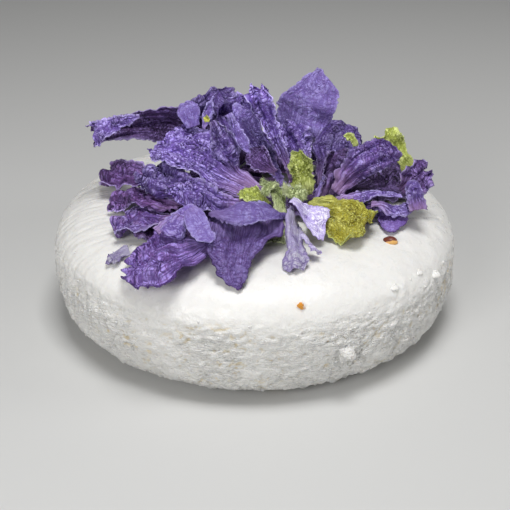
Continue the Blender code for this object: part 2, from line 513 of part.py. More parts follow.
# Petals that close the heap behind.
petal("back_mid", VIOLET, (0.5, 8, 29), (-4.5, 10, 42),
      face=VIEWER, rows=8, columns=6, sides=((1.2, 2, 4, 5, 4.4), (1.2, 2, 3.6, 4.6, 3.8)), cup=20,
      ruffle=0.8, waves=3, crumple=0.8, ragged=0.08, lies=False, seed=34)
petal("inner_strip", LIGHT_VIOLET, (-5, -3, 42), (-1, -6, 35),
      face=VIEWER, rows=6, columns=3, width=2.5, claw=0.6, end=0.6, lies=False, seed=33)
petal("inner_cup", DARK_VIOLET, (4, -9, 32.5), (-1, -0.5, 33.5),
      face=VIEWER, rows=5, columns=4, width=6, cup=45, claw=0.3, wide_at=0.6, end=0.8, lies=False,
      seed=90)
petal("under_sail", VIOLET, (11, 1.5, 27), (5.5, 7.5, 37),
      face=VIEWER, rows=6, columns=5, width=8, cup=-20, pleat=0.5, pleats=3, crumple=0.5, ragged=0.05,
      lies=False, seed=92)
petal("back_low", VIOLET, (9.5, 17.5, 28), (1.5, 13.5, 34),
      face=VIEWER, rows=6, columns=5, width=12, cup=-20, ruffle=0.8, waves=3, crumple=0.8, ragged=0.08,
      lies=False, seed=58)
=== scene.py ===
import math

import bmesh
import bpy
import numpy as np
from mathutils import Euler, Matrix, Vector


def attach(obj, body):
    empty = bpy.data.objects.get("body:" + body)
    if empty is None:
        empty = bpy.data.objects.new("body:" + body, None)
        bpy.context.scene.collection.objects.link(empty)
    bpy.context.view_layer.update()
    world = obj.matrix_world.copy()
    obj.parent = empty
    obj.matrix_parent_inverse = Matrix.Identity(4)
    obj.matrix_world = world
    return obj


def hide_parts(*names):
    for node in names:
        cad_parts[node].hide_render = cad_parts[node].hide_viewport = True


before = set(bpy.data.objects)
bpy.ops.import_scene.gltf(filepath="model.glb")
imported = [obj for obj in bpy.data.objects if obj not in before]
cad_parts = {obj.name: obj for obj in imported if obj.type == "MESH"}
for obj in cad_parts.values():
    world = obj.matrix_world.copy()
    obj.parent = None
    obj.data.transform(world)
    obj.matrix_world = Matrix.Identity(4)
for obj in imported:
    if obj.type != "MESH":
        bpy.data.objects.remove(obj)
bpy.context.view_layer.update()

# The cheese: soft white curd drained in a round mould and turned out damp, with no rind. The skin
# is smooth and finely creased on top and over the shoulder, and porous and grainy down the side.
MM = 0.001
CHEESE_RADIUS = 40.0
CHEESE_HEIGHT = 24.4
WIDEST_LEVEL = 14.3
TOP_FLAT, TOP_ROUND = 0.57, 2.45
BASE_FLAT, BASE_ROUND = 0.60, 3.15
SKIN_RELIEF = 0.35
DENT_DEPTH, DENT_LEVEL, DENT_WIDTH = 0.5, 16.0, 1.6
DENT_FROM, DENT_TO = math.radians(-152.0), math.radians(-114.0)
AROUND = 608
SIDE_RINGS, SHOULDER_RINGS, TOP_RINGS, BASE_RINGS = 54, 50, 20, 6
CURD_WHITE = (0.82, 0.81, 0.785)
# Painted shade: the grey that the curd is painted towards the foot and in the pits of its relief.
CHEESE_SHADE_GREY = (0.78, 0.77, 0.74)
WHEY_YELLOW = (0.78, 0.62, 0.32)
# Painted shade: the dark grey painted along the creases.
CREASE_SHADE_GREY = (0.34, 0.33, 0.31)
# Creases and whey-stained cracks, each from point to point in mm, with its depth and half width.
CREASES = [
    ([(27.4, -10.5, 24.2), (32.0, -8.5, 23.2), (35.9, -5.3, 21.4)], 0.32, 0.26),
    ([(2.5, -32.3, 23.0), (10.0, -32.6, 22.2), (19.8, -31.3, 20.6)], 0.18, 0.35),
    ([(-33.8, -21.3, 14.4), (-30.0, -26.0, 15.8), (-25.6, -30.5, 16.5), (-18.1, -35.5, 16.2)], 0.25, 0.6),
    ([(-30.0, -20.0, 21.6), (-24.0, -25.5, 22.0), (-16.0, -29.5, 22.6)], 0.10, 0.5),
]
CRACKS = [
    ([(-7.6, -39.0, 16.9), (-6.9, -39.2, 16.3), (-5.2, -39.4, 16.7), (-3.6, -39.6, 17.4)], 0.24, 0.30),
    ([(-10.4, -38.6, 12.8), (-9.0, -39.0, 12.5), (-7.6, -39.3, 12.7)], 0.28, 0.32),
    ([(-5.3, -39.6, 13.2), (-2.9, -39.9, 11.9), (0.5, -40.0, 11.9), (3.4, -39.8, 11.7), (5.9, -39.5, 12.5)],
     0.26, 0.28),
    ([(2.5, -39.6, 8.8), (5.2, -39.3, 8.2)], 0.24, 0.24),
]


class Field:
    """A value that a node gives. Sums and products of fields are worked out by new nodes."""

    def __init__(self, tree, socket):
        self.tree, self.socket = tree, socket

    def math(self, operation, *others):
        kind = "ShaderNodeMath" if self.socket.type == "VALUE" else "ShaderNodeVectorMath"
        return put(self.tree, kind, dict(enumerate((self, *others))), operation=operation)

    def __add__(self, other):
        return self.math("ADD", other)

    def __sub__(self, other):
        return self.math("SUBTRACT", other)

    def __mul__(self, other):
        return self.math("MULTIPLY", other)

    def __rtruediv__(self, other):
        return put(self.tree, "ShaderNodeMath", {0: other, 1: self}, operation="DIVIDE")

    def scaled(self, share):
        return put(self.tree, "ShaderNodeVectorMath", {0: self, "Scale": share}, operation="SCALE")


def feed(tree, node, links):
    """Sets or links a node's inputs by name or number."""
    for key, value in links.items():
        if isinstance(value, Field):
            tree.links.new(value.socket, node.inputs[key])
        else:
            node.inputs[key].default_value = value


def put(tree, kind, links=None, out=0, **settings):
    """Adds a node with its inputs fed, and gives one of its outputs, or several."""
    node = tree.nodes.new(kind)
    for key, value in settings.items():
        setattr(node, key, value)
    feed(tree, node, links or {})
    if isinstance(out, tuple):
        return [Field(tree, node.outputs[key]) for key in out]
    return Field(tree, node.outputs[out])


def split(vector):
    return put(vector.tree, "ShaderNodeSeparateXYZ", {0: vector}, out=(0, 1, 2))


def combined(tree, x, y, z):
    return put(tree, "ShaderNodeCombineXYZ", {0: x, 1: y, 2: z})


def between(value, low, high, to_low=0.0, to_high=1.0):
    """A value's smooth way from one level to another."""
    return put(value.tree, "ShaderNodeMapRange", {"Value": value, "From Min": low, "From Max": high,
                                                  "To Min": to_low, "To Max": to_high},
               interpolation_type="SMOOTHSTEP")


def noise(place, scale, detail=2.0, out=0, **more):
    return put(place.tree, "ShaderNodeTexNoise", {"Vector": place, "Scale": scale, "Detail": detail, **more},
               out=out)


def ridges(value, sharpness):
    """Sharp crests along the middle level of a noise, from about -1 to 1."""
    away = (value - 0.5).math("ABSOLUTE")
    return (away * -sharpness + 1.0).math("MAXIMUM", -1.0)


def creases(value, sharpness):
    """Sharp valleys between rounded puffs, from about -0.6 in a valley to 0.4 on a puff."""
    away = (value - 0.5).math("ABSOLUTE")
    return (away * sharpness).math("MINIMUM", 1.0).math("POWER", 0.65) - 0.6


def stored(tree, name, kind="FLOAT"):
    """What a mesh has stored on its points, in a geometry tree."""
    return put(tree, "GeometryNodeInputNamedAttribute", {"Name": name}, data_type=kind)


def marked(tree, name, out=2):
    """What a mesh has stored on its points, in a material."""
    return put(tree, "ShaderNodeAttribute", attribute_name=name, out=out)


def moved_out(geometry, distance, name, kept):
    """The mesh with a value stored under a name, and its points moved out by a distance in mm."""
    tree = geometry.tree
    told = put(tree, "GeometryNodeStoreNamedAttribute", {"Geometry": geometry, "Name": name, "Value": kept},
               data_type="FLOAT", domain="POINT")
    push = put(tree, "GeometryNodeInputNormal").scaled(distance * MM)
    return put(tree, "GeometryNodeSetPosition", {"Geometry": told, "Offset": push})


def mixed(share, first, second):
    """One colour turning into another as a share goes from 0 to 1."""
    first, second = [(*tone, 1.0) if isinstance(tone, tuple) else tone for tone in (first, second)]
    return put(share.tree, "ShaderNodeMix", {"Factor": share, 6: first, 7: second}, out=2, data_type="RGBA",
               clamp_factor=True)


def bump(height, distance, strength=1.0):
    return put(height.tree, "ShaderNodeBump", {"Strength": strength, "Distance": distance, "Height": height})


def start_tree(name, inputs):
    """A geometry tree with its named inputs, and the fields that they give."""
    tree = bpy.data.node_groups.new(name, "GeometryNodeTree")
    tree.interface.new_socket("Geometry", in_out="INPUT", socket_type="NodeSocketGeometry")
    for label, value in inputs.items():
        kind = "NodeSocketMaterial" if value is None else "NodeSocketFloat"
        socket = tree.interface.new_socket(label, in_out="INPUT", socket_type=kind)
        if value is not None:
            socket.default_value = value
    tree.interface.new_socket("Geometry", in_out="OUTPUT", socket_type="NodeSocketGeometry")
    return tree, {socket.name: Field(tree, socket) for socket in tree.nodes.new("NodeGroupInput").outputs}


def end_tree(geometry, material):
    """Closes a tree: plain smooth mesh, with its finish."""
    tree = geometry.tree
    plain = put(tree, "GeometryNodeRealizeInstances", {"Geometry": geometry})
    shaded = put(tree, "GeometryNodeSetShadeSmooth", {"Geometry": plain})
    finished = put(tree, "GeometryNodeSetMaterial", {"Geometry": shaded, "Material": material})
    feed(tree, tree.nodes.new("NodeGroupOutput"), {0: finished})


def run_tree(piece, tree, values):
    """Runs a tree on a piece with these inputs and keeps what it makes as the piece's mesh."""
    step = piece.modifiers.new(tree.name, "NODES")
    step.node_group = tree
    for socket in tree.interface.items_tree:
        if socket.in_out == "INPUT" and socket.name in values:
            step[socket.identifier] = values[socket.name]
    graph = bpy.context.evaluated_depsgraph_get()
    made = bpy.data.meshes.new_from_object(piece.evaluated_get(graph))
    made.name = piece.name
    piece.modifiers.remove(step)
    piece.data = made


def new_piece(name, points, faces, **fields):
    """A mesh object from points in mm, with named values stored on its points."""
    mesh = bpy.data.meshes.new(name)
    mesh.from_pydata((np.asarray(points) * MM).tolist(), [], [tuple(map(int, face)) for face in faces])
    for field, values in fields.items():
        values = np.asarray(values, np.float32)
        kind = ("FLOAT", "value") if values.ndim == 1 else ("FLOAT_VECTOR", "vector")
        mesh.attributes.new(field, kind[0], "POINT").data.foreach_set(kind[1], values.ravel())
    piece = bpy.data.objects.new(name, mesh)
    bpy.context.scene.collection.objects.link(piece)
    return piece


def stand_for(piece, node):
    """The piece goes with the cheese and takes its node's place."""
    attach(piece, "root")
    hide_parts(node)


def new_material(name, roughness=0.5):
    """A material, its node tree and its shader node."""
    material = bpy.data.materials.new(name)
    material.use_nodes = True
    tree = material.node_tree
    shader = tree.nodes["Principled BSDF"]
    shader.inputs["Roughness"].default_value = roughness
    return material, tree, shader


def smooth(t):
    t = np.clip(t, 0.0, 1.0)
    return t * t * (3.0 - 2.0 * t)


def cheese_radius(z):
    """Radius of the cheese at a height."""
    upper = z > WIDEST_LEVEL
    share = np.where(upper, (z - WIDEST_LEVEL) / (CHEESE_HEIGHT - WIDEST_LEVEL),
                     (WIDEST_LEVEL - z) / WIDEST_LEVEL)
    flat, power = np.where(upper, TOP_FLAT, BASE_FLAT), np.where(upper, TOP_ROUND, BASE_ROUND)
    bow = np.maximum(0.0, 1.0 - np.clip(share, 0.0, 1.0) ** power) ** (1.0 / power)
    return CHEESE_RADIUS * (flat + (1.0 - flat) * bow)


def skin(angle, z):
    """How far the skin lies inside the smooth shape: low folds, and one long dent on the left."""
    rng = np.random.default_rng(11)
    waves = 0.0
    for _ in range(10):
        turns = int(rng.integers(3, 15))
        waves = waves + np.sin(turns * angle + z / rng.uniform(1.5, 4.0) + rng.uniform(0.0, 6.28)) / 10.0
    low = 1.0 - smooth((z - WIDEST_LEVEL) / (CHEESE_HEIGHT - WIDEST_LEVEL))
    depth = SKIN_RELIEF * (0.25 + 0.75 * low) * (1.0 + waves)
    along = smooth((angle - DENT_FROM) / 0.2) * smooth((DENT_TO - angle) / 0.2)
    return depth + DENT_DEPTH * along * np.exp(-(((z - DENT_LEVEL) / DENT_WIDTH) ** 2))


def cut_by(points, paths):
    """How deep each point is cut by paths: the full depth on a path, and 0 a few widths away."""
    total = 0.0
    for path, depth, width in paths:
        path = np.array(path, float)
        best = np.full(len(points), 1e9)
        for start, stop in zip(path, path[1:]):
            line = stop - start
            t = np.clip(((points - start) @ line) / (line @ line), 0.0, 1.0)
            best = np.minimum(best, np.linalg.norm(points - start - t[:, None] * line, axis=1))
        total = total + depth * np.exp(-((best / width) ** 2))
    return total


quarter = math.pi / 2.0
levels = [WIDEST_LEVEL * (1.0 - np.cos(np.linspace(0.0, quarter, SIDE_RINGS))),
          WIDEST_LEVEL + (CHEESE_HEIGHT - WIDEST_LEVEL) * np.sin(
              np.linspace(0.0, quarter, SHOULDER_RINGS)[1:])]
ring_z = np.concatenate([np.zeros(BASE_RINGS), *levels, np.full(TOP_RINGS, CHEESE_HEIGHT)])
ring_r = np.concatenate([CHEESE_RADIUS * BASE_FLAT * np.linspace(0.0, 1.0, BASE_RINGS + 1)[:-1],
                         cheese_radius(np.concatenate(levels)),
                         CHEESE_RADIUS * TOP_FLAT * np.linspace(1.0, 0.0, TOP_RINGS + 1)[1:]])
angle = 2.0 * math.pi * np.arange(AROUND)[None, :] / AROUND - math.pi
level = ring_z[1:-1, None]
inset = np.where((level > 0.0) & (level < CHEESE_HEIGHT), skin(angle, level), 0.0)
around_r = ring_r[1:-1, None] - inset
rings = np.stack([around_r * np.cos(angle), around_r * np.sin(angle),
                  np.broadcast_to(level, around_r.shape)], 2)
points = np.vstack([[[0.0, 0.0, 0.0]], rings.reshape(-1, 3), [[0.0, 0.0, CHEESE_HEIGHT]]])
here = np.arange(AROUND)
beside = (here + 1) % AROUND
last = len(points) - 1
faces = [(0, 1 + b, 1 + a) for a, b in zip(here, beside)]
for ring in range(len(rings) - 1):
    low = 1 + ring * AROUND
    faces += zip(low + here, low + beside, low + AROUND + beside, low + AROUND + here)
faces += [(last, last - AROUND + a, last - AROUND + b) for a, b in zip(here, beside)]
cheese = new_piece("cheese_skin", points, faces, crease=cut_by(points, CREASES),
                   crack=cut_by(points, CRACKS))


def rough_share(place, height, side):
    """How rough the skin is: in torn patches down the side, and all round the foot."""
    torn = between(noise(place, 0.11, 3.0), 0.34, 0.58, 0.62, 1.0)
    return (side * torn).math("MAXIMUM", between(height, 9.0, 3.0))


skin_tree, given = start_tree("cheese skin", {
    "Wave height": 0.6, "Streak height": 0.16, "Smear height": 0.48, "Lump height": 1.3,
    "Pore depth": 0.34, "Grain height": 0.24, "Skin": None})
place = put(skin_tree, "GeometryNodeInputPosition").scaled(1.0 / MM)
across, _, height = split(place)
side = between(height, 20.5, 13.0)
rough_side = rough_share(place, height, side)
waves = noise(place, 0.15, 2.0) - 0.5
streaks = ridges(noise(place * (0.10, 1.15, 0.16), 1.0, 1.5), 7.0) * between(across, -14.0, -30.0)
level_lines = (place + noise(place, 0.35, 2.0, out=1) * (0.0, 0.0, 2.6)) * (0.24, 0.24, 0.95)
smears = creases(noise(level_lines, 1.0, 2.0), 5.5) * (rough_side * 0.75 + side * 0.25)
lumps = (noise(place, 0.6, 3.0, Distortion=0.8) - 0.5) * (rough_side * 0.88 + 0.12)
cells = put(skin_tree, "ShaderNodeTexVoronoi", {"Vector": place, "Scale": 0.8})
pores = between(cells, 0.34, 0.08) * rough_side
grain = (noise(place, 1.5, 2.0) - 0.5) * (rough_side * 0.9 + 0.1)
relief = waves * given["Wave height"] - pores * given["Pore depth"]
for field, label in ((streaks, "Streak height"), (smears, "Smear height"), (lumps, "Lump height"),
                     (grain, "Grain height")):
    relief = relief + field * given[label]
relief = relief - stored(skin_tree, "crease") - stored(skin_tree, "crack")
relief = relief * between(height, 0.05, 1.2)
end_tree(moved_out(given["Geometry"], relief, "relief", relief), given["Skin"])

curd, tree, shader = new_material("fresh curd")
place = put(tree, "ShaderNodeTexCoord", out=3).scaled(1.0 / MM)
height, relief = split(place)[2], marked(tree, "relief")
coarse = rough_share(place, height, between(height, 20.5, 12.0))
# Painted shade: the curd is painted grey towards the foot, more in some patches than in others, and in the
# pits of its relief.
foot_shade = (between(height, 15.0, 1.0) * 0.45 + 0.05) * between(noise(place, 0.09, 4.0), 0.3, 0.62, 0.35, 1.0)
tone = mixed(foot_shade + between(relief, 0.0, -0.30) * 0.5, CURD_WHITE, CHEESE_SHADE_GREY)
stained = between(relief, -0.06, -0.34) * between(noise(place, 0.3), 0.44, 0.58) * between(height, 21.0, 18.0)
stained = (stained * 0.6).math("MAXIMUM", between(marked(tree, "crack"), 0.03, 0.14, 0.0, 0.75))
tone = mixed(stained, tone, WHEY_YELLOW)
# Painted shade: a thin dark grey line painted along each crease's groove.
tone = mixed(between(marked(tree, "crease"), 0.12, 0.26, 0.0, 0.55), tone, CREASE_SHADE_GREY)
flakes = creases(noise(place * (0.5, 0.5, 1.8), 1.0, 2.0), 6.0)
bumps = (flakes * coarse * 0.5 + noise(place, 1.9, 4.0, Roughness=0.6)) * (coarse * 0.85 + 0.15)
feed(tree, shader, {
    "Base Color": tone, "Roughness": between(noise(place, 0.5, 3.0), 0.3, 0.7, 0.22, 0.5),
    "Normal": bump(bumps, 0.00038), "Subsurface Weight": 0.15,
    "Subsurface Radius": (1.0, 0.85, 0.65), "Subsurface Scale": 0.0007})
run_tree(cheese, skin_tree, {"Skin": curd})
stand_for(cheese, "cheese")

# Bits stuck to the skin: a glossy brown seed, an orange speck of petal, and crumbs of loose curd
# left by the mould. They lie half sunk in the damp surface.
SEED_BROWN, SEED_TAN = (0.16, 0.038, 0.022), (0.75, 0.42, 0.13)
SPECK_ORANGE, SPECK_PALE = (0.78, 0.33, 0.03), (0.88, 0.66, 0.52)
CRUMB_LENGTH = 0.42
CRUMB_WIDTH, CRUMB_HEIGHT = 0.7, 0.45
CRUMBS_EACH_SQUARE_METRE = 420000.0


def rounded_bit(centre, half_sizes, turn_deg=0.0, lean_deg=0.0, rough=0.0, way=(1.0, 0.0, 0.0)):
    """Points and faces of an uneven rounded bit in mm, and how far each point lies along a way."""
    shape = bmesh.new()
    bmesh.ops.create_icosphere(shape, subdivisions=4, radius=1.0)
    faces = [tuple(v.index for v in face.verts) for face in shape.faces]
    ball = np.array([v.co for v in shape.verts])
    shape.free()
    rng = np.random.default_rng(3)
    bulge = np.ones(len(ball))
    for times in (1.5, 3.0, 6.0):
        for _ in range(4):
            wave = rng.normal(size=3)
            wave *= times / np.linalg.norm(wave)
            bulge += rough / times * np.sin(ball @ wave * 2.0 + rng.uniform(0.0, 6.28))
    shaped = ball * bulge[:, None] * half_sizes
    turned = Euler((math.radians(lean_deg), 0.0, math.radians(turn_deg))).to_matrix()
    return shaped @ np.array(turned).T + centre, faces, ball @ np.array(way) * 0.5 + 0.5


def stuck_bit(name, material, *place, **shape):
    points, faces, end = rounded_bit(*place, **shape)
    bit = new_piece(name, points, faces, end=end)
    bit.data.materials.append(material)
    bit.data.shade_smooth()
    stand_for(bit, "cheese")


def two_tone(name, first, second, roughness, change, width):
    """One colour at one end of a bit and another at the other, meeting in a ragged line."""
    material, tree, shader = new_material(name)
    place = put(tree, "ShaderNodeTexCoord", out=3)
    ragged = noise(place, 1500.0) * 0.35 + (marked(tree, "end") - 0.17)
    feed(tree, shader, {
        "Base Color": mixed(between(ragged, change - width, change + width), first, second),
        "Roughness": between(noise(place, 2500.0), 0.3, 0.7, roughness, roughness + 0.2),
        "Normal": bump(noise(place, 4000.0), 0.00008, 0.4)})
    return material


def strewn(geometry, density, shape, scale, seed, tilt, tilt_seed):
    """Copies of a shape that stand on a surface here and there, each tilted its own way."""
    tree = geometry.tree
    points, upright = put(tree, "GeometryNodeDistributePointsOnFaces", {
        "Mesh": geometry, "Density": density, "Seed": seed}, out=("Points", "Rotation"))
    spin = put(tree, "FunctionNodeRandomValue", {
        0: (-tilt, -tilt, 0.0), 1: (tilt, tilt, 6.28), "Seed": tilt_seed}, data_type="FLOAT_VECTOR")
    turned = put(tree, "FunctionNodeRotateRotation", {0: upright, 1: spin}, rotation_space="LOCAL")
    return put(tree, "GeometryNodeInstanceOnPoints", {
        "Points": points, "Instance": shape, "Rotation": turned, "Scale": scale})


def random_size(tree, smallest, seed):
    return put(tree, "FunctionNodeRandomValue", {2: smallest, 3: 1.0, "Seed": seed}, out=1, data_type="FLOAT")


def grown_on(piece, name, tree, values, node):
    """What a tree strews over a piece, as a piece of its own."""
    coat = piece.copy()
    coat.data = piece.data.copy()
    coat.name = name
    bpy.context.scene.collection.objects.link(coat)
    run_tree(coat, tree, values)
    stand_for(coat, node)


stuck_bit("seed", two_tone("brown seed", SEED_TAN, SEED_BROWN, roughness=0.22, change=0.44, width=0.03),
          (24.7, -19.4, 23.72), (1.3, 0.98, 0.8), turn_deg=-12.0, rough=0.06, way=(-0.34, 0.36, 0.87))
stuck_bit("petal_speck",
          two_tone("orange speck", SPECK_PALE, SPECK_ORANGE, roughness=0.4, change=0.52, width=0.06),
          (7.9, -37.0, 20.1), (0.6, 0.4, 1.3), turn_deg=-15.0, lean_deg=40.0, rough=0.22,
          way=(-0.62, -0.3, 0.72))
for name, *spot in (("curd_front", (15.8, -36.2, 10.8), (1.1, 1.1, 1.9), 20.0, -12.0),
                    ("curd_right", (32.7, -20.8, 17.9), (0.95, 0.8, 0.8)),
                    ("curd_high", (29.2, -23.6, 19.75), (0.75, 0.7, 0.6)),
                    ("curd_low", (24.2, -28.9, 19.6), (0.8, 0.75, 0.6))):
    stuck_bit(name, curd, *spot, rough=0.30)

crumb_tree, given = start_tree("curd crumbs", {
    "Crumbs each square metre": CRUMBS_EACH_SQUARE_METRE, "Largest": CRUMB_LENGTH, "Curd": None})
place = put(crumb_tree, "GeometryNodeInputPosition")
level = split(place)[2]
thick = between(level, 0.021, 0.012, 0.02, 1.0) * between(noise(place, 110.0), 0.45, 0.62)
density = thick * between(level, 0.001, 0.002) * given["Crumbs each square metre"]
crumb = put(crumb_tree, "GeometryNodeMeshIcoSphere", {"Radius": MM, "Subdivisions": 1})
long = random_size(crumb_tree, smallest=0.25, seed=2) * given["Largest"]
scale = combined(crumb_tree, long, long * CRUMB_WIDTH, long * CRUMB_HEIGHT)
crumbs = strewn(given["Geometry"], density, crumb, scale, seed=5, tilt=0.5, tilt_seed=9)
end_tree(crumbs, given["Curd"])
grown_on(cheese, "curd_crumbs", crumb_tree, {"Curd": curd}, "cheese")

# The dried mallow petals: each a thin sheet that shrank as it dried, so it is finely wrinkled all
# over, creased from root to tip, and crimped along its rim. Each rests on those laid before it.
SHEET = 0.15
CELL = 0.18
SOLID_THICKNESS = 0.5
GAP = 0.3
WRINKLE_LENGTH = 6.0
MAP_CELL = 0.5
MAP_HALF = 60.0
TATTER = 0.35
VEINS_PER_MM = 0.9
MAP_MARGIN = 0.35
MOST_ROWS, MOST_COLUMNS = 170, 120
FOLD_HEIGHT, CRINKLE_HEIGHT, PUCKER_HEIGHT = 0.42, 0.34, 0.15
VEIN_HEIGHT, CRIMP_HEIGHT = 0.16, 0.5
UP = (0.0, 0.0, 1.0)
SLOPE = (0.0, -0.6, 0.8)
VIEWER = (0.0, -0.89, 0.46)
FRONT = (0.0, -1.0, 0.1)


def unit(vector):
    vector = np.asarray(vector, float)
    return vector / np.linalg.norm(vector)


def profile(values, t):
    """Values at equal steps along a petal, joined by a smooth line."""
    steps = len(values) - 1
    place = np.clip(t, 0.0, 1.0) * steps
    step = np.clip(place.astype(int), 0, steps - 1)
    values = np.asarray(values, float)
    return values[step] + (values[step + 1] - values[step]) * smooth(place - step)


def ripples(a, b, wavelength, seed):
    """A random field of sharp folds, about one unit high, over two lengths."""
    rng = np.random.default_rng(seed)
    total = np.zeros(np.broadcast(a, b).shape)
    for _ in range(7):
        turn = rng.uniform(0.0, 2.0 * math.pi)
        k = 2.0 * math.pi / (wavelength * rng.uniform(0.7, 1.5))
        wave = np.sin(k * (a * math.cos(turn) + b * math.sin(turn)) + rng.uniform(0.0, 6.28))
        total += np.arcsin(wave) * 0.7
    return total / 2.6


def cheese_top(x, y):
    """Height of the bare cheese above the table, seen from above."""
    share = np.hypot(x, y) / CHEESE_RADIUS
    q = np.clip((share - TOP_FLAT) / (1.0 - TOP_FLAT), 0.0, 1.0)
    rise = CHEESE_HEIGHT - WIDEST_LEVEL
    z = WIDEST_LEVEL + rise * (1.0 - q**TOP_ROUND) ** (1.0 / TOP_ROUND)
    return np.where(share > 1.0, -100.0, z)


def blade(rows, columns, root, tip, face, seed, width=1.0, sides=None, mid=None, arch=0.0, sway=0.0,
          lip=0.0, lip_from=0.6, claw=0.2, wide_at=0.7, end=0.75, corner=0.25, notch=0.0, cup=0.0,
          fold=0.0, pleat=0.0, pleats=3, ruffle=0.0, waves=2.0, crumple=0.0, ragged=0.0, tatter=0.0):
    """The middle surface of one petal as a grid, with the length and half width at each point.

    It follows a bent line from root to tip. Its half width comes from sides (left then right when
    its front is seen with the tip up, at equal steps along it), or else from width, claw, wide_at
    and end. Cup bends it across, fold creases it along the middle, pleat lays folds from root to
    tip, ruffle waves its edges, lip hooks its end, crumple lays sharp folds over all of it, and
    ragged and tatter nibble its rim.
    """
    root, tip = np.asarray(root, float), np.asarray(tip, float)
    chord = tip - root
    length = np.linalg.norm(chord)
    along = chord / length
    side = unit(np.cross(along, face))
    front = np.cross(side, along)
    u = np.linspace(-1.0, 1.0, columns + 1)[None, :]
    v = np.linspace(0.0, 1.0, rows + 1)[:, None]
    reach = v * (1.0 - corner * np.abs(u) ** 2.5 - notch * np.clip(1.0 - np.abs(u) / 0.35, 0.0, 1.0))
    reach = reach * (1.0 - ragged * (0.5 + 0.5 * ripples(2.2 * u, 0.0 * v, 2.0, seed + 5)))

    steps = np.linspace(0.0, 1.0, 201)
    if mid is None:
        middle = root + 0.5 * chord + 2.0 * (arch * front + sway * side)
    else:
        middle = 2.0 * np.asarray(mid, float) - 0.5 * (root + tip)
    hook = lip * np.clip((steps - lip_from) / (1.0 - lip_from), 0.0, 1.0) ** 2
    spine = (((1.0 - steps) ** 2)[:, None] * root + (2.0 * steps * (1.0 - steps))[:, None] * middle
             + (steps**2)[:, None] * tip + hook[:, None] * front)
    tangent = np.gradient(spine, axis=0)
    tangent /= np.linalg.norm(tangent, axis=1)[:, None]
    normal = front[None, :] - (tangent @ front)[:, None] * tangent
    normal /= np.linalg.norm(normal, axis=1)[:, None]
    across = np.cross(tangent, normal)

    def at(field):
        flat = np.clip(reach, 0.0, 1.0).ravel()
        columns_of = [np.interp(flat, steps, field[:, k]) for k in range(3)]
        return np.stack(columns_of, 1).reshape(reach.shape + (3,))

    if sides is None:
        grown = claw + (1.0 - claw) * smooth(reach / wide_at)
        closed = 1.0 + (end - 1.0) * smooth((reach - wide_at) / (1.0 - wide_at))
        half = 0.5 * width * np.where(reach < wide_at, grown, closed)
    else:
        width = max(sides[0]) + max(sides[1])
        left, right = profile(sides[0], reach), profile(sides[1], reach)
        half = np.where(u < -1e-6, left, np.where(u > 1e-6, right, 0.5 * (left + right)))
    half = half * (1.0 + ragged * ripples(2.0 * v, 3.0 * np.sign(u), 1.6, seed + 9) * smooth(2.0 * v))
    bitten = 0.5 + 0.5 * ripples(v * length, 40.0 * np.sign(u), 1.3, seed + 21)
    half = half - tatter * bitten * np.abs(u) ** 6 * np.minimum(1.0, half)
    reach = reach - tatter / length * v**12 * (0.5 + 0.5 * ripples(u * half, 0.0 * v, 1.3, seed + 23))
    bend = math.radians(abs(cup)) + 1e-4
    sideways = half * np.sin(bend * u) / bend
    rise = math.copysign(1.0, cup) * half * (1.0 - np.cos(bend * u)) / bend
    rise = rise + np.abs(sideways) * math.sin(math.radians(fold))
    sideways = sideways * math.cos(math.radians(fold))
    share = half / (0.5 * width)
    rise = rise + pleat * share * np.cos(math.pi * pleats * u + seed)
    edge = np.sin(2.0 * math.pi * waves * v + seed * 1.7 + (u > 0.0) * 2.1)
    rise = rise + ruffle * u**2 * share * edge
    rise = rise + ruffle * v**4 * np.sin(math.pi * waves * u + seed)
    rise = rise + crumple * share * ripples(u * half, reach * length, WRINKLE_LENGTH, seed)
    grid = at(spine) + at(across) * sideways[..., None] + at(normal) * rise[..., None]
    return grid, reach * length, half, np.broadcast_to(u, reach.shape)


def refine(grid, rows, columns):
    """The same surface on a finer grid."""
    r, c = grid.shape[0] - 1, grid.shape[1] - 1
    a, b = np.linspace(0, r, rows + 1), np.linspace(0, c, columns + 1)
    i, j = np.clip(a.astype(int), 0, r - 1), np.clip(b.astype(int), 0, c - 1)
    s, t = (a - i)[:, None, None], (b - j)[None, :, None]
    near = (1.0 - t) * grid[i][:, j] + t * grid[i][:, j + 1]
    far = (1.0 - t) * grid[i + 1][:, j] + t * grid[i + 1][:, j + 1]
    return (1.0 - s) * near + s * far


map_line = np.arange(-MAP_HALF, MAP_HALF + MAP_CELL / 2.0, MAP_CELL)
heap = cheese_top(*np.meshgrid(map_line, map_line, indexing="ij"))


def around(field):
    """The four neighbours of each value in a grid, added up."""
    wide = np.pad(field, 1, mode="edge")
    return wide[:-2, 1:-1] + wide[2:, 1:-1] + wide[1:-1, :-2] + wide[1:-1, 2:]


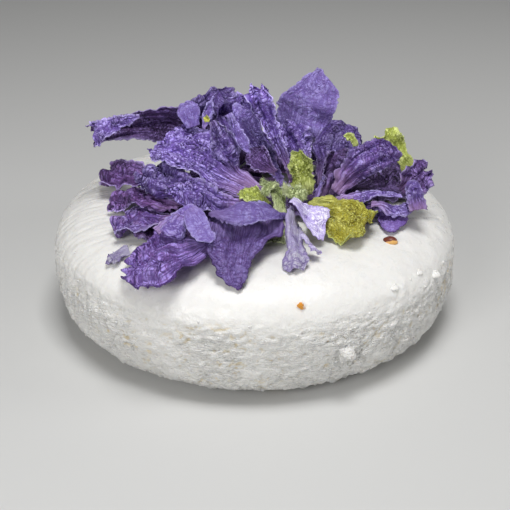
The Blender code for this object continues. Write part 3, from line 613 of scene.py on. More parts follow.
def lift_onto_heap(grid):
    """How far each point of a sheet is lifted clear of what lies under it, which it then joins."""
    rows, columns = grid.shape[0] - 1, grid.shape[1] - 1
    fine = refine(grid, 3 * rows, 3 * columns)
    i, j = (np.floor((fine[..., axis] + MAP_HALF) / MAP_CELL).astype(int) for axis in (0, 1))
    top = np.maximum.reduce([heap[i + a, j + b] for a in (0, 1) for b in (0, 1)])
    need = top + GAP + SOLID_THICKNESS / 2.0 - fine[..., 2]
    lift = np.zeros((rows + 1, columns + 1))
    for a in (-1, 0, 1):
        for b in (-1, 0, 1):
            i = np.clip(np.arange(rows + 1) * 3 + a, 0, 3 * rows)
            j = np.clip(np.arange(columns + 1) * 3 + b, 0, 3 * columns)
            lift = np.maximum(lift, need[i][:, j])
    for _ in range(10):
        lift = np.maximum(lift, 0.2 * around(lift))
    laid = grid.copy()
    laid[..., 2] += lift
    fine = refine(laid, 6 * rows, 6 * columns).reshape(-1, 3)
    for dx in (-MAP_MARGIN, MAP_MARGIN):
        for dy in (-MAP_MARGIN, MAP_MARGIN):
            i = np.round((fine[:, 0] + dx + MAP_HALF) / MAP_CELL).astype(int)
            j = np.round((fine[:, 1] + dy + MAP_HALF) / MAP_CELL).astype(int)
            np.maximum.at(heap, (i, j), fine[:, 2] + SOLID_THICKNESS / 2.0)
    return lift


def wander(place, scale, detail, reach):
    """A slow drift either way, to bend straight lines with."""
    return (noise(place, scale, detail, out=1) - (0.5, 0.5, 0.5)) * reach


def fan_streaks(vein_place, along, spread):
    """Sharp streaks that run out from the root of a petal, and fork and fade on their way."""
    lane = combined(spread.tree, vein_place, along * 3.0, split(spread)[2])
    return ridges(noise(lane + wander(spread, 0.6, 1.0, (1.1, 0.6, 0.0)), 1.0, 1.5), 6.5)


petal_tree, given = start_tree("dried petal", {
    "Thickness": SHEET, "Fold height": FOLD_HEIGHT, "Fold size": 3.6, "Crinkle height": CRINKLE_HEIGHT,
    "Crinkle size": 1.5, "Pucker height": PUCKER_HEIGHT, "Pucker size": 0.85,
    "Vein height": VEIN_HEIGHT, "Crimp height": CRIMP_HEIGHT, "Crimp size": 1.6, "Finish": None})
spread = stored(petal_tree, "spread", "FLOAT_VECTOR")
vein_place, along, rim = split(stored(petal_tree, "place", "FLOAT_VECTOR"))
winding = spread + wander(spread, 0.4, 2.0, (3.0, 3.0, 0.0))


def sized_noise(label, stretch, detail=1.0):
    """A noise in a feature's own size, drawn out along the petal."""
    share = 1.0 / given[label]
    return noise(winding * combined(petal_tree, share, share.math("DIVIDE", stretch), 1.0), 1.0, detail)


outer = between(along, 0.10, 0.55, 0.25, 1.0)
patches = between(noise(spread, 0.25, 1.0), 0.36, 0.54, 0.35, 1.0)
folds = ridges(sized_noise("Fold size", 1.9), 6.0)
crinkles = creases(sized_noise("Crinkle size", 0.55), 5.0) * patches * outer
puckers = creases(sized_noise("Pucker size", 0.5, 0.5), 5.0) * outer
veins = fan_streaks(vein_place, along, spread) * between(along, 1.0, 0.3, 0.35, 1.0)
crimps = (sized_noise("Crimp size", 1.0) - 0.5) * 3.5 * (rim * -0.9).math("EXPONENT")
total = folds * given["Fold height"] - given["Thickness"] * 0.5
for field, label in ((crinkles, "Crinkle height"), (puckers, "Pucker height"), (veins, "Vein height"),
                     (crimps, "Crimp height")):
    total = total + field * given[label]
# Crest: how high each point lies in its wrinkles, by which the finish paints shade low down and highlight on
# top.
crest = folds * 0.14 + crinkles * 0.45 + puckers * 0.30 + veins * 0.12 + 0.45
wrinkled = moved_out(given["Geometry"], total, "crest", crest)
thick = put(petal_tree, "GeometryNodeInputNormal").scaled(given["Thickness"] * MM)
faced = put(petal_tree, "GeometryNodeExtrudeMesh", {
    "Mesh": wrinkled, "Offset": thick, "Offset Scale": 1.0, "Individual": False})
backed = put(petal_tree, "GeometryNodeFlipFaces", {"Mesh": wrinkled})
both = petal_tree.nodes.new("GeometryNodeJoinGeometry")
for half_of_sheet in (faced, backed):
    feed(petal_tree, both, {0: half_of_sheet})
end_tree(put(petal_tree, "GeometryNodeMergeByDistance", {
    "Geometry": Field(petal_tree, both.outputs[0]), "Distance": 0.002 * MM}), given["Finish"])


def petal_finish(name, deep, mid, light, rim_highlight_and_colour, root_tint, roughness=0.5, vein_dark=0.8,
                 blush=(0.22, 0.075, 0.26), blush_share=0.3, relief=1.0):
    """Dried petal: dark veins, painted shade in its creases, and painted highlight on the puffs between them
    and on light rims.
    """
    material, tree, shader = new_material(name, roughness)
    spread = marked(tree, "spread", out=1)
    vein_place, along, rim = split(marked(tree, "place", out=1))
    warm, bright, fine = split(marked(tree, "tint", out=1))
    cloud, grain = noise(spread, 0.45, 3.0), noise(spread, 5.0, 2.0)
    bent = spread + wander(spread, 0.5, 2.0, (4.0, 4.0, 0.0))
    cross = creases(noise(bent * (0.95, 1.25, 1.0), 1.0, 1.0), 7.0)
    net = creases(noise(bent * (2.4, 2.4, 1.0), 1.0, 0.5), 6.0)
    shown = between(noise(spread, 0.35, 2.0), 0.40, 0.60, 0.25, 1.0)
    outer = between(along, 0.12, 0.6, 0.15, 1.0)
    inner = between(along, 1.0, 0.25, 0.35, 1.0)
    lines = fan_streaks(vein_place * 1.9, along, spread)
    height = (cross * outer * shown + net * outer * 0.45 - lines * inner * 0.55) * fine
    # Painted shade and highlight: the colour goes from deep where the relief and creases are low to light on
    # the crests, with the veins darker and the cloud varying it at random.
    level = height * 0.46 + marked(tree, "crest") * 0.8 + cloud * 0.5 - 0.05
    tone = mixed(between(level, 0.04, 0.36), deep, mid)
    tone = mixed(between(level, 0.46, 0.80), tone, light)
    flecks = between(noise(spread, 1.7, 3.0), 0.45, 0.62)
    tone = mixed((flecks * 0.6 + 0.4) * (cloud * blush_share + warm), tone, blush)
    tone = mixed(between(grain, 0.45, 0.75, 0.0, 0.5), tone, blush)
    # Painted shade: thin dark lines down the creases and the fine net of wrinkles.
    painted_crease_shade = between(cross, 0.08, -0.40, 0.0, 0.92) * shown
    painted_crease_shade = painted_crease_shade.math("MAXIMUM", between(net, 0.0, -0.42, 0.0, 0.62)) * outer
    # The veins' own dark colour near the root, together with the painted crease shade, both in the deep
    # colour.
    vein_and_crease_shade = (between(lines, 0.2, 1.0, 0.0, vein_dark) * inner).math("MAXIMUM", painted_crease_shade) * fine
    tone = mixed(vein_and_crease_shade, tone, deep)
    # Painted highlight along the rim where the rim colour is lighter than the petal; on the pale and
    # dark-rimmed finishes it is the rim's own darker colour.
    tone = mixed((rim * -5.0).math("EXPONENT") * 0.9, tone, rim_highlight_and_colour)
    tone = mixed(between(along, 0.45, 0.0, 0.0, 0.6), tone, root_tint)
    feed(tree, shader, {
        "Base Color": tone.scaled(bright),
        "Roughness": between(grain, 0.3, 0.7, roughness - 0.1, roughness + 0.15),
        "Normal": bump(grain * 0.25 + height, 0.00022 * relief), "Specular IOR Level": 0.3})
    return material


FINISHES = {
    "violet_petal": petal_finish(
        "violet petal", deep=(0.022, 0.009, 0.075), mid=(0.250, 0.162, 0.620), light=(0.54, 0.45, 1.00),
        rim_highlight_and_colour=(0.60, 0.52, 0.94), root_tint=(0.38, 0.22, 0.40)),
    "dark_petal": petal_finish(
        "dark violet petal", deep=(0.012, 0.005, 0.030), mid=(0.125, 0.065, 0.255),
        light=(0.33, 0.23, 0.60), rim_highlight_and_colour=(0.50, 0.40, 0.78), root_tint=(0.16, 0.085, 0.20)),
    "light_petal": petal_finish(
        "light violet petal", deep=(0.07, 0.038, 0.20), mid=(0.28, 0.20, 0.64), light=(0.48, 0.41, 0.95),
        rim_highlight_and_colour=(0.54, 0.47, 0.92), root_tint=(0.36, 0.24, 0.56), relief=0.7),
    "pale_petal": petal_finish(
        "pale petal", deep=(0.22, 0.15, 0.42), mid=(0.60, 0.55, 0.85), light=(0.84, 0.83, 0.98),
        rim_highlight_and_colour=(0.40, 0.31, 0.68), root_tint=(0.64, 0.60, 0.80), vein_dark=0.5, relief=0.6),
    "dark_rim": petal_finish(
        "dark-rimmed petal", deep=(0.026, 0.010, 0.080), mid=(0.205, 0.130, 0.470),
        light=(0.42, 0.33, 0.84), rim_highlight_and_colour=(0.060, 0.022, 0.140), root_tint=(0.30, 0.20, 0.50),
        blush_share=0.45)}


def petal(name, slot, root, tip, rows, columns, seed, face=SLOPE, lies=True, finish=None, warm=0.0,
          bright=1.0, folded=1.0, crinkled=1.0, veined=1.0, crimped=1.0, fine=1.0, shows_from=0.0, **shape):
    """One petal or leaf: the rows and columns of its solid laid on the heap, then its wrinkles.

    Shows_from is the share of the whole petal that is out of sight before the piece's root end.
    """
    shape = dict(shape, root=root, tip=tip, face=face, seed=seed)
    grid, length_at, half, u = blade(rows, columns, **shape)
    lift = lift_onto_heap(grid) if lies else np.zeros(grid.shape[:2])
    fine_rows = int(np.clip(length_at.max() / CELL, 24, MOST_ROWS))
    fine_columns = int(np.clip(2.0 * half.max() / CELL, 14, MOST_COLUMNS))
    grid, length_at, half, u = blade(fine_rows, fine_columns, **shape, tatter=TATTER)
    lift = refine(lift[..., None], fine_rows, fine_columns)[..., 0]
    for _ in range(3 * fine_rows // rows):
        lift = (4.0 * lift + around(lift)) / 8.0
    grid[..., 2] += lift
    v = length_at / length_at.max()
    rim = np.minimum((1.0 - np.abs(u)) * half, (1.0 - v) * length_at.max())
    spread = np.stack([u * half, length_at, np.full(v.shape, seed * 3.7)], 2)
    along = shows_from + (1.0 - shows_from) * v
    place = np.stack([u * half.max() * VEINS_PER_MM, along, rim], 2)
    tint = np.broadcast_to([warm, bright, fine], grid.shape)
    across = fine_columns + 1
    a = (np.arange(fine_rows)[:, None] * across + np.arange(fine_columns)[None, :]).ravel()
    piece = new_piece(name + "_dried", grid.reshape(-1, 3),
                      np.stack([a, a + 1, a + across + 1, a + across], 1),
                      spread=spread, place=place, tint=tint)
    run_tree(piece, petal_tree, {
        "Finish": FINISHES[finish or slot], "Fold height": FOLD_HEIGHT * folded,
        "Crinkle height": CRINKLE_HEIGHT * crinkled, "Pucker height": PUCKER_HEIGHT * crinkled,
        "Vein height": VEIN_HEIGHT * veined, "Crimp height": CRIMP_HEIGHT * crimped})
    stand_for(piece, name)


# Crumpled petals at the bottom of the heap, which dried in a clump. They lie on the damp skin of
# the cheese and hold the others up.
petal("core_left", "dark_petal", (3, -0.5, 25.5), (-14.5, 4.5, 26), face=UP, rows=6, columns=4, width=22,
    crumple=0.8, ruffle=0.8, claw=0.5, ragged=0.1, seed=74, bright=0.9)
petal("core_right", "dark_petal", (8.5, -3.5, 25.5), (19, 3.5, 26), face=UP, rows=5, columns=4, width=12,
    crumple=0.8, ruffle=0.8, claw=0.5, ragged=0.1, seed=92, bright=0.9)
petal("core_back", "dark_petal", (4, 4.5, 25.5), (6.5, 18, 26.5), face=UP, rows=5, columns=5, width=22,
    crumple=0.8, ruffle=1, claw=0.5, ragged=0.1, seed=48, bright=0.9)
petal("under_left", "dark_petal", (-7, -16.5, 25), (-24.5, -15, 25), face=UP, rows=6, columns=5, width=17,
    crumple=0.7, ruffle=0.7, claw=0.7, end=0.8, ragged=0.12, seed=94, warm=0.2, bright=0.7)
petal("core_mid", "dark_petal", (1, -10, 25), (11.5, -8.5, 25), face=UP, rows=4, columns=4, width=9,
    crumple=0.5, claw=0.7, end=0.7, ragged=0.1, seed=58, bright=0.7)

# Yellow-green leaves and sepals that came with the flowers, dried stiff and finely netted, with
# brown where they were bruised. Leaves are yellower, sepals greyer.
FINISHES["leaf"] = petal_finish(
    "dried leaf", deep=(0.150, 0.115, 0.010), mid=(0.57, 0.54, 0.060), light=(0.93, 0.92, 0.24),
    rim_highlight_and_colour=(0.58, 0.66, 0.22), root_tint=(0.44, 0.47, 0.16), roughness=0.6, vein_dark=0.45,
    blush=(0.42, 0.33, 0.035), blush_share=0.2)
FINISHES["green_leaf"] = petal_finish(
    "dried green leaf", deep=(0.095, 0.115, 0.016), mid=(0.46, 0.54, 0.095), light=(0.84, 0.92, 0.34),
    rim_highlight_and_colour=(0.72, 0.80, 0.36), root_tint=(0.44, 0.48, 0.20), roughness=0.6, vein_dark=0.45,
    blush=(0.38, 0.40, 0.07), blush_share=0.15)
FINISHES["sepal"] = petal_finish(
    "dried sepal", deep=(0.070, 0.100, 0.024), mid=(0.37, 0.46, 0.17), light=(0.74, 0.84, 0.46),
    rim_highlight_and_colour=(0.68, 0.76, 0.46), root_tint=(0.50, 0.52, 0.34), roughness=0.65, vein_dark=0.5,
    blush=(0.30, 0.24, 0.10), blush_share=0.15)

# A bit of leaf and a thin, nearly clear scrap of petal, which lie straight on the cheese in front.
# Its damp skin holds them.
petal("leaf_under", "sepal", (5, -17, 25), (1, -24, 25), face=UP, rows=6, columns=4, width=6, claw=0.4,
    end=0.3, cup=-20, ragged=0.15, seed=75)
petal("scrap_left", "pale_petal", (-22.5, -24, 24), (-26, -26.5, 21.5), face=UP, rows=7, columns=4,
    width=3.4, claw=0.9, end=0.9, cup=-20, crumple=0.3, ragged=0.2, sway=0.6, seed=89, bright=0.62,
    veined=0.5, folded=0.3, crinkled=0.6)

# The left side of the heap, from the cheese up to the large fan: whole petals that dried folded
# and crinkled, each resting on those below it.
petal("front_left", "violet_petal", (-7.5, -26, 26), (-23.5, -29, 21.5), face=UP, rows=9, columns=7,
    sides=((1, 5, 8.6, 5.4, 1.6), (1, 4.8, 8.8, 5.6, 1.8)), mid=(-15.5, -30, 25.5), pleat=0.7, pleats=4,
    ruffle=0.6, corner=0, crumple=0.9, ragged=0.12, seed=8, warm=0.2, bright=1.15, folded=1.1, crinkled=0.8,
    finish="dark_rim")
petal("left_low", "violet_petal", (-13.5, -19.5, 26), (-26.5, -16, 24.5), face=UP, rows=8, columns=6,
    sides=((1.6, 3.6, 5, 5, 3), (1.6, 4.4, 5.4, 5.4, 4)), cup=20, fold=-10, ruffle=0.7, pleat=0.5,
    ragged=0.12, corner=0.1, crumple=0.8, seed=84, warm=0.45, bright=0.95, crinkled=0.6)
petal("left_mid", "dark_petal", (-13.5, -15, 27.5), (-28, -6, 25), rows=8, columns=6,
    sides=((1.6, 3.4, 4.2, 4, 2.6), (1.6, 3.4, 4, 3.6, 2)), ruffle=0.8, pleat=0.5, pleats=2, arch=0.8,
    ragged=0.15, crumple=1.2, corner=0.05, seed=60, warm=0.3, bright=1.3, folded=1.2, crinkled=1.0)
petal("left_up", "dark_petal", (-13, -11, 29), (-30.5, 5, 27.5), rows=8, columns=6,
    sides=((1.2, 3.2, 4.4, 4.8, 3.2), (1.2, 2.6, 3.6, 3.6, 2.4)), cup=-15, ruffle=0.6, pleat=0.4, arch=0.8,
    corner=0, ragged=0.08, crumple=0.7, seed=72, warm=0.3, bright=1.1, folded=0.6, crinkled=0.5,
    crimped=0.4)
petal("left_knot", "violet_petal", (-11, -15, 29.5), (-22, -6.5, 32), rows=8, columns=7,
    sides=((1.6, 4, 5.2, 5, 3.4), (1.6, 4.4, 6.2, 6, 4)), cup=-30, crumple=1.5, pleat=0.6, ruffle=0.9,
    ragged=0.12, corner=0.1, seed=93, bright=0.75, folded=1.5, crinkled=1.4)
petal("under_fan", "violet_petal", (0, -14, 27.5), (-16.5, -15, 27), rows=8, columns=5, width=7, cup=-25,
    pleat=0.4, claw=0.7, crumple=0.3, seed=73, folded=0.6)
petal("fan", "violet_petal", (1, -8, 28), (-20.5, -0.5, 33.5), rows=10, columns=8,
    sides=((1.3, 3.8, 6.6, 8.2, 7.6, 4.6), (1.4, 3, 7.4, 10.6, 10.4, 6.4)), cup=-22, pleat=0.5, ruffle=0.6,
    crumple=0.6, corner=0.1, arch=1.5, ragged=0.05, seed=18, bright=1.15, folded=0.8, crinkled=1.2,
    veined=1.6, crimped=0.3)

# The right side of the heap, where petals that rolled up as they dried curl round a dark hollow.
# The curled bud lies under the others, straight on the cheese.
petal("bud", "light_petal", (21, -11, 25), (25, -9, 25.5), face=UP, rows=5, columns=4, width=4.4, cup=-60,
    claw=0.7, end=0.6, corner=0.3, seed=24, bright=0.75, folded=0.3, crinkled=0.4)
petal("right_back", "dark_petal", (17, -6.5, 26), (31, 4.5, 26), rows=8, columns=6, width=15, cup=30,
    crumple=0.6, ruffle=0.8, ragged=0.1, seed=68, bright=0.55)
petal("flat_right", "violet_petal", (26, -10.5, 25.5), (24.5, -18, 24.5), face=UP, rows=7, columns=5,
    sides=((3, 3.2, 2.8, 1.8, 0.6), (2.8, 2.8, 2.6, 1.9, 0.6)), cup=-10, corner=0.1, seed=90, folded=0.2,
    crinkled=0.2, crimped=0.3, fine=0.4, finish="dark_rim")
petal("right_low", "dark_petal", (16, -11, 25.5), (23, -14.5, 25), face=UP, rows=5, columns=3, width=8,
    crumple=0.5, claw=0.7, end=0.8, ragged=0.1, seed=5, bright=0.9)
petal("ring_front", "violet_petal", (21.5, -13.5, 26.5), (30, -12, 27.5), rows=8, columns=4, width=3,
    cup=-30, claw=0.7, wide_at=0.4, end=1, sway=0.8, seed=13, folded=0.3, crinkled=0.5, crimped=0.5)
petal("ring_low", "violet_petal", (15.5, -11, 27), (27.5, -12, 28.5), rows=9, columns=4, width=3.4, cup=-30,
    claw=1, wide_at=0.2, end=0.8, sway=-1.2, seed=89, folded=0.4, crinkled=0.6, crimped=0.5)

# Yellow-green sepals and leaf bits in the middle: a large crumpled leaf, and the sepals
# that held a flower's petals. They lie on the petals below.
petal("leaf_big", "leaf", (10, -12.5, 27.5), (21, -22, 27), face=(0, -0.45, 0.9), rows=8, columns=7,
    sides=((2, 4.2, 5.6, 5.6, 3.6), (1.8, 5.4, 6.4, 6.2, 4.4)), cup=-12, ruffle=0.8, pleat=0.3, crumple=0.6,
    ragged=0.1, corner=0.04, seed=33, folded=0.9, crinkled=0.9, bright=0.88)
petal("leaf_left", "leaf", (2.5, -13, 27), (-3, -10, 27), rows=8, columns=5, width=6.5, cup=30, claw=0.5,
    wide_at=0.5, end=0.7, ruffle=0.7, ragged=0.12, crumple=0.5, seed=57, bright=1.1, finish="green_leaf")
petal("calyx", "sepal", (4.5, -14.5, 26), (4, -8, 29.5), face=VIEWER, rows=7, columns=5, width=3.6, cup=-55,
    claw=0.7, end=0.8, crumple=0.25, seed=60, bright=1.2, folded=0.4, crinkled=0.8, crimped=0.5)
petal("sepal_left", "sepal", (4, -10.5, 29.5), (0.5, -13.5, 32), rows=6, columns=4, width=3.6, claw=0.4,
    end=0.4, cup=-30, ruffle=0.4, ragged=0.15, seed=85, bright=1.15)
petal("sepal_right", "sepal", (5, -11.5, 29), (10, -11, 30), rows=6, columns=4, width=2.6, claw=0.5,
    end=0.3, cup=-40, ruffle=0.5, ragged=0.2, seed=6, bright=1.1)

# The petals that hang over the front edge: one broad smooth petal with the rolled lip of another
# over it, and three thin pale ones, which lost their colour as they dried.
petal("drape", "violet_petal", (-1, -20, 29), (-3, -36, 22), face=(0, -0.75, 0.66), rows=10, columns=7,
    sides=((6.5, 6.6, 3.4, 1.8, 1.4, 0.8), (4, 7.2, 7.6, 6.4, 4.2, 1.2)), mid=(-2, -30, 27), cup=12,
    corner=0, pleat=0.35, crumple=0.45, ragged=0.06, seed=39, bright=0.66, folded=0.35, crinkled=0.35,
    crimped=0.4, fine=0.6, finish="dark_rim")
petal("drape_lip", "light_petal", (-8, -23, 28), (5.5, -21.5, 28.5), rows=9, columns=4, width=5,
    mid=(-1.5, -27, 33), claw=0.6, end=0.8, wide_at=0.5, ruffle=0.3, cup=-25, seed=71, bright=0.68,
    folded=0.2, crinkled=0.25, crimped=0.3, fine=0.5)
petal("pale_low", "pale_petal", (7, -20.5, 28), (8, -33.5, 23.5), face=VIEWER, rows=9, columns=5,
    sides=((1.2, 1.8, 1.6, 1.9, 1.6), (1, 1.6, 1.5, 2.4, 2.2)), mid=(7, -28, 26.5), cup=-35, pleat=0.3,
    pleats=2, ragged=0.22, crumple=0.8, ruffle=0.4, seed=75, bright=0.72, folded=0.5, crinkled=0.4,
    crimped=0.8, fine=0.7)
petal("pale_side", "pale_petal", (8, -26.5, 26), (12, -28, 24.5), face=UP, rows=6, columns=4, width=3,
    cup=-30, ruffle=0.4, ragged=0.2, seed=61, folded=0.4, crinkled=0.4)
petal("pale_top", "pale_petal", (6.5, -20.5, 29), (13, -21.5, 28), rows=7, columns=5, width=7, cup=-20,
    claw=0.8, pleat=0.1, wide_at=0.8, end=1, corner=0, crumple=0.35, seed=76, bright=1.25, folded=0.3,
    crinkled=0.2, crimped=0.3, fine=0.8, shows_from=0.3)

# Petals that stand up out of the heap, held at their roots by the petals round them. They dried
# cupped or rolled, which keeps them stiff.


def standing(*place, face=VIEWER, **shape):
    """A petal that stands, or bridges others: its solid isn't laid on the heap."""
    petal(*place, face=face, lies=False, **shape)


standing("spire", "violet_petal", (7.5, 0, 27), (-0.5, 1, 47), rows=11, columns=6,
    sides=((0.9, 1.5, 1.8, 2.2, 3, 2.8), (0.9, 1.4, 1.9, 2.3, 3, 2.8)), cup=70, ruffle=1.1, waves=2.5,
    arch=0.4, corner=0.08, crumple=0.7, ragged=0.06, seed=62, bright=1.3, folded=0.8, crinkled=0.9)
standing("spire_side", "light_petal", (5.5, -0.5, 26.5), (-4, 3.5, 42), rows=10, columns=4,
    sides=((0.8, 1.6, 2.2, 2.6, 2.2), (0.8, 1.4, 1.8, 2.4, 2)), cup=25, arch=0.5, crumple=0.3, seed=93,
    shows_from=0.25)
standing("right_dark", "dark_petal", (13.5, -8, 26.5), (18.5, -1.5, 34.5), rows=8, columns=5, width=8,
    cup=20, claw=0.5, crumple=0.7, pleat=0.4, end=0.6, seed=85, bright=0.7)
standing("sail", "light_petal", (9, 8, 27), (13, 12.5, 46.5), rows=9, columns=7,
    sides=((1, 2.4, 5.4, 6.2, 3.2, 0.4), (1, 2.2, 5, 6, 6, 0.8)), mid=(10, 8.5, 37.5), cup=-12,
    crumple=0.45, corner=0, ragged=0.03, seed=37, bright=0.82, folded=0.35, crinkled=0.4, crimped=0.5,
    fine=0.6)
standing("strap_left", "violet_petal", (-17.5, -23.5, 27.5), (-11, -17.5, 30), face=SLOPE, rows=6,
    columns=3, width=2.4, claw=0.8, end=0.9, crumple=0.2, seed=9, bright=0.85, folded=0.2, crinkled=0.2,
    crimped=0.3, fine=0.4)
standing("strap_right", "light_petal", (-11.5, -24, 32), (-7, -31.5, 29.5), face=SLOPE, rows=6, columns=4,
    sides=((1.6, 2, 1.6, 1.2, 0.8), (1.2, 2.2, 2.8, 2.4, 1)), crumple=0.2, corner=0, seed=27, bright=0.75,
    folded=0.2, crinkled=0.2, crimped=0.3, fine=0.3, shows_from=0.2)
standing("flap", "violet_petal", (-13, -21.5, 29.5), (-15, -27.5, 28.5), face=SLOPE, rows=5, columns=4,
    width=5, claw=0.6, end=0.7, crumple=0.3, cup=-20, seed=31, bright=0.8, folded=0.3, crinkled=0.3,
    crimped=0.4, fine=0.5, shows_from=0.2)
standing("wing", "dark_petal", (-4.5, 8.5, 28.5), (-32, 2.5, 35.5), face=FRONT, rows=10, columns=6,
    sides=((2.5, 4, 4.2, 3, 2.2), (2.5, 4.2, 5, 3, 3.4)), mid=(-17, 5.5, 36.5), cup=40, ruffle=0.6, waves=3,
    corner=-0.1, notch=0.25, ragged=0.06, crumple=0.3, seed=49, bright=0.8, folded=0.3, crinkled=0.35,
    crimped=0.4)
standing("wing_curl", "violet_petal", (-22, 0, 40.5), (-32, -0.5, 38.5), rows=9, columns=5,
    sides=((0.4, 1.2, 2.4, 4, 4.8), (0.4, 0.8, 1, 1, 0.8)), crumple=0.8, ruffle=0.6, waves=3, ragged=0.1,
    corner=0, seed=0, bright=1.1, folded=0.7, shows_from=0.35)
standing("back_left", "violet_petal", (-3, 9.5, 27.5), (-10.5, 10.5, 43), rows=10, columns=8,
    sides=((1.2, 1.8, 3.5, 6, 5), (1.2, 1.8, 3.5, 6, 5)), cup=-15, ruffle=1.2, waves=3, lip=-2,
    lip_from=0.8, crumple=1.3, corner=0.1, ragged=0.14, seed=50, bright=0.68, folded=1.2, crinkled=1.1)
standing("cheek", "light_petal", (-12, 2.5, 37.5), (-13.5, 3.5, 42.5), rows=7, columns=4, width=5, cup=-20,
    claw=0.6, crumple=0.2, end=0.8, seed=27, bright=0.9, folded=0.2, crinkled=0.2, crimped=0.4, fine=0.5,
    shows_from=0.3)
standing("leaflet", "light_petal", (-10, 2.5, 37), (-8, 4, 43.5), rows=7, columns=3, width=2.4, cup=40,
    claw=0.3, wide_at=0.5, end=0.1, seed=54, folded=0.3)
standing("dome", "violet_petal", (15.5, -8.5, 28.5), (28, -6.5, 35), rows=10, columns=7,
    sides=((1.2, 2.8, 4.6, 5, 3.4), (1.2, 2.2, 2.6, 2.2, 1.6)), cup=-40, arch=1.5, sway=-1.8, pleat=0.5,
    crumple=0.5, ragged=0.04, seed=33, warm=0.3, bright=0.9, folded=0.8)
standing("shoulder", "violet_petal", (13, -4, 27.5), (20, 7, 37), rows=9, columns=7,
    sides=((1.2, 3, 5.5, 6, 4.5), (1.2, 2.5, 3.5, 3.5, 2.5)), cup=-25, pleat=0.5, crumple=0.5, ragged=0.06,
    seed=94, bright=0.6, folded=1.0)
standing("inner_tip", "violet_petal", (-8, -2.5, 40.5), (-3.5, -5.5, 32.5), rows=8, columns=5,
    sides=((0.8, 2, 2.8, 2.6, 0.5), (0.8, 2, 2.8, 2.2, 0.5)), cup=-30, pleat=0.5, pleats=2, crumple=0.5,
    seed=95, bright=0.8, folded=0.8, crinkled=0.6, crimped=0.6, shows_from=0.3)

# Leaf bits and small petals caught between the standing ones, and the strip that closes the ring
# of petals on the right.
standing("leaf_centre", "leaf", (10, -7.5, 27.5), (7.5, -4, 36), rows=9, columns=5,
    sides=((1.6, 2.8, 2.8, 2.2, 1.4), (1.2, 2.2, 2.4, 2, 1.2)), cup=35, ruffle=0.6, ragged=0.12,
    crumple=0.5, seed=77, bright=0.88, finish="green_leaf")
standing("curl_right", "leaf", (19, -4, 36), (16.5, -4, 38), rows=4, columns=2, width=1.6, claw=0.8,
    end=0.6, sway=0.8, seed=8, folded=0.3, crinkled=0.5, finish="green_leaf")
standing("bit_left", "leaf", (-9.5, -3.5, 41), (-8.5, -3.5, 41.5), rows=2, columns=2, width=1.4, claw=0.8,
    end=0.6, seed=65, bright=1.2, folded=0.2, crinkled=0.4)
standing("right_stem", "light_petal", (12, -7, 26), (16.5, -1.5, 31.5), rows=7, columns=3, width=3.5,
    cup=-40, claw=0.7, seed=11)
standing("far_tip", "dark_petal", (28, -8.5, 28.5), (33.5, -6, 33.5), rows=8, columns=6,
    sides=((2, 3, 3, 3.2, 2.6), (2, 3.2, 3.2, 2.4, 2)), ruffle=0.9, waves=3, crumple=0.8, notch=0.3, cup=20,
    ragged=0.1, seed=62)
standing("leaf_back", "leaf", (33, 12, 24), (24, 6.5, 35), rows=8, columns=6,
    sides=((0.8, 2.4, 3.4, 3, 1.8), (0.8, 2.2, 3.4, 3.2, 1.8)), cup=-25, ruffle=0.6, ragged=0.12,
    crumple=0.5, seed=31, bright=1.1, fine=0.6, finish="green_leaf")
standing("ring_side", "violet_petal", (30, -15.5, 28), (29.5, -8, 31), face=FRONT, rows=7, columns=4,
    width=3.4, cup=-30, claw=1, wide_at=0.3, end=0.9, seed=75, bright=0.75, folded=0.3, crinkled=0.4,
    crimped=0.4, veined=1.5)

# Petals that close the heap behind, dried like those in front and held the same way, by the
# petals round their roots.
standing("back_mid", "violet_petal", (0.5, 8, 29), (-4.5, 10, 42), rows=8, columns=6,
    sides=((1.2, 2, 4, 5, 4.4), (1.2, 2, 3.6, 4.6, 3.8)), cup=20, ruffle=0.8, waves=3, crumple=0.8,
    ragged=0.08, seed=34)
standing("inner_strip", "light_petal", (-5, -3, 42), (-1, -6, 35), rows=6, columns=3, width=2.5, claw=0.6,
    end=0.6, seed=33, shows_from=0.3)
standing("inner_cup", "dark_petal", (4, -9, 32.5), (-1, -0.5, 33.5), rows=5, columns=4, width=6, cup=45,
    claw=0.3, wide_at=0.6, end=0.8, seed=90)
standing("under_sail", "violet_petal", (11, 1.5, 27), (5.5, 7.5, 37), rows=6, columns=5, width=8, cup=-20,
    pleat=0.5, crumple=0.5, ragged=0.05, seed=92)
standing("back_low", "violet_petal", (9.5, 17.5, 28), (1.5, 13.5, 34), rows=6, columns=5, width=12, cup=-20,
    ruffle=0.8, waves=3, crumple=0.8, ragged=0.08, seed=58)

# Short stiff hairs that grow on the calyx, its sepals and the leaf bits, as on any mallow. They
# dried standing.
HAIR_LENGTH = 0.75
HAIR_THICK = 0.035
HAIR_GREEN, HAIR_PALE = (0.34, 0.42, 0.17), (0.72, 0.78, 0.50)
hair_tree, given = start_tree("leaf hairs", {
    "Hairs each square metre": 4.0e6, "Length": HAIR_LENGTH, "Hair finish": None})
hair = put(hair_tree, "GeometryNodeMeshCone", {
    "Vertices": 3, "Radius Top": 0.0, "Radius Bottom": HAIR_THICK * MM, "Depth": MM})
scale = combined(hair_tree, 1.0, 1.0, random_size(hair_tree, smallest=0.4, seed=6) * given["Length"])
hairs = strewn(given["Geometry"], given["Hairs each square metre"], hair, scale, seed=8, tilt=0.7,
               tilt_seed=4)
end_tree(hairs, given["Hair finish"])

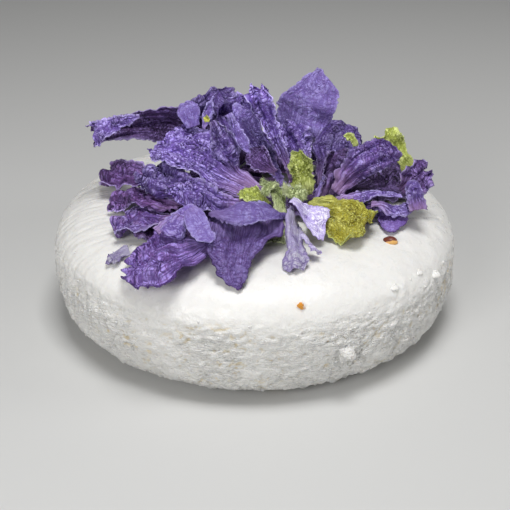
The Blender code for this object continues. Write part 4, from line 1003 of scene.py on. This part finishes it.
hair_finish, tree, shader = new_material("hair finish", 0.6)
streak = noise(put(tree, "ShaderNodeTexCoord", out=3), 900.0, 3.0)
feed(tree, shader, {"Base Color": mixed(between(streak, 0.35, 0.65), HAIR_GREEN, HAIR_PALE)})
for node, slot, each_square_metre in (("calyx", "sepal", 1.1e7), ("sepal_left", "sepal", 1.4e7),
                                      ("sepal_right", "sepal", 1.1e7), ("leaf_centre", "leaf", 3.0e6),
                                      ("leaf_big", "leaf", 1.6e6), ("leaf_left", "leaf", 2.5e6),
                                      ("leaf_under", "sepal", 4.0e6)):
    grown_on(bpy.data.objects[node + "_dried"], node + "_hairs", hair_tree,
             {"Hairs each square metre": each_square_metre, "Hair finish": hair_finish}, node)

# The table, the light and the camera: a plain pale table, three soft square lights above, in front
# and on the right, and the camera level with the side of the heap that shows most.
FLOOR_GREY = (0.62, 0.62, 0.61)
FLOOR_REACH = 900.0
ROOM_LIGHT = 0.12
CAMERA_HEIGHT_DEG = 27.3
CAMERA_DISTANCE = 218.0
TARGET_HEIGHT = 10.7
LENS = 75.5
floor = new_piece("floor", [(-FLOOR_REACH, -FLOOR_REACH, 0.0), (FLOOR_REACH, -FLOOR_REACH, 0.0),
                            (FLOOR_REACH, FLOOR_REACH, 0.0), (-FLOOR_REACH, FLOOR_REACH, 0.0)],
                  [(0, 1, 2, 3)])
floor_paint, tree, shader = new_material("pale table", 0.6)
feed(tree, shader, {"Base Color": (*FLOOR_GREY, 1.0)})
floor.data.materials.append(floor_paint)


def add_light(name, place, size, power):
    """A square soft light that looks at the middle of the cheese."""
    light = bpy.data.lights.new(name, "AREA")
    light.size, light.energy = size * MM, power
    lamp = bpy.data.objects.new(name, light)
    bpy.context.scene.collection.objects.link(lamp)
    lamp.location = Vector(place) * MM
    aim = Vector((0.0, 0.0, 20.0 * MM)) - lamp.location
    lamp.rotation_euler = aim.to_track_quat("-Z", "Y").to_euler()


add_light("top", (25.0, -95.0, 400.0), size=150.0, power=1.10)
add_light("front", (-160.0, -320.0, 190.0), size=140.0, power=0.60)
add_light("right", (380.0, -60.0, 170.0), size=120.0, power=0.27)
world = bpy.data.worlds.new("room")
world.use_nodes = True
feed(world.node_tree, world.node_tree.nodes["Background"], {
    "Color": (1.0, 1.0, 1.0, 1.0), "Strength": ROOM_LIGHT})
bpy.context.scene.world = world
bpy.context.scene.view_settings.view_transform = "Standard"

height_angle = math.radians(CAMERA_HEIGHT_DEG)
camera_data = bpy.data.cameras.new("camera")
camera_data.lens, camera_data.sensor_width, camera_data.clip_start = LENS, 36.0, 0.001
camera = bpy.data.objects.new("camera", camera_data)
bpy.context.scene.collection.objects.link(camera)
camera.location = (0.0, -CAMERA_DISTANCE * math.cos(height_angle) * MM,
                   (TARGET_HEIGHT + CAMERA_DISTANCE * math.sin(height_angle)) * MM)
camera.rotation_euler = (math.radians(90.0) - height_angle, 0.0, 0.0)
bpy.context.scene.camera = camera
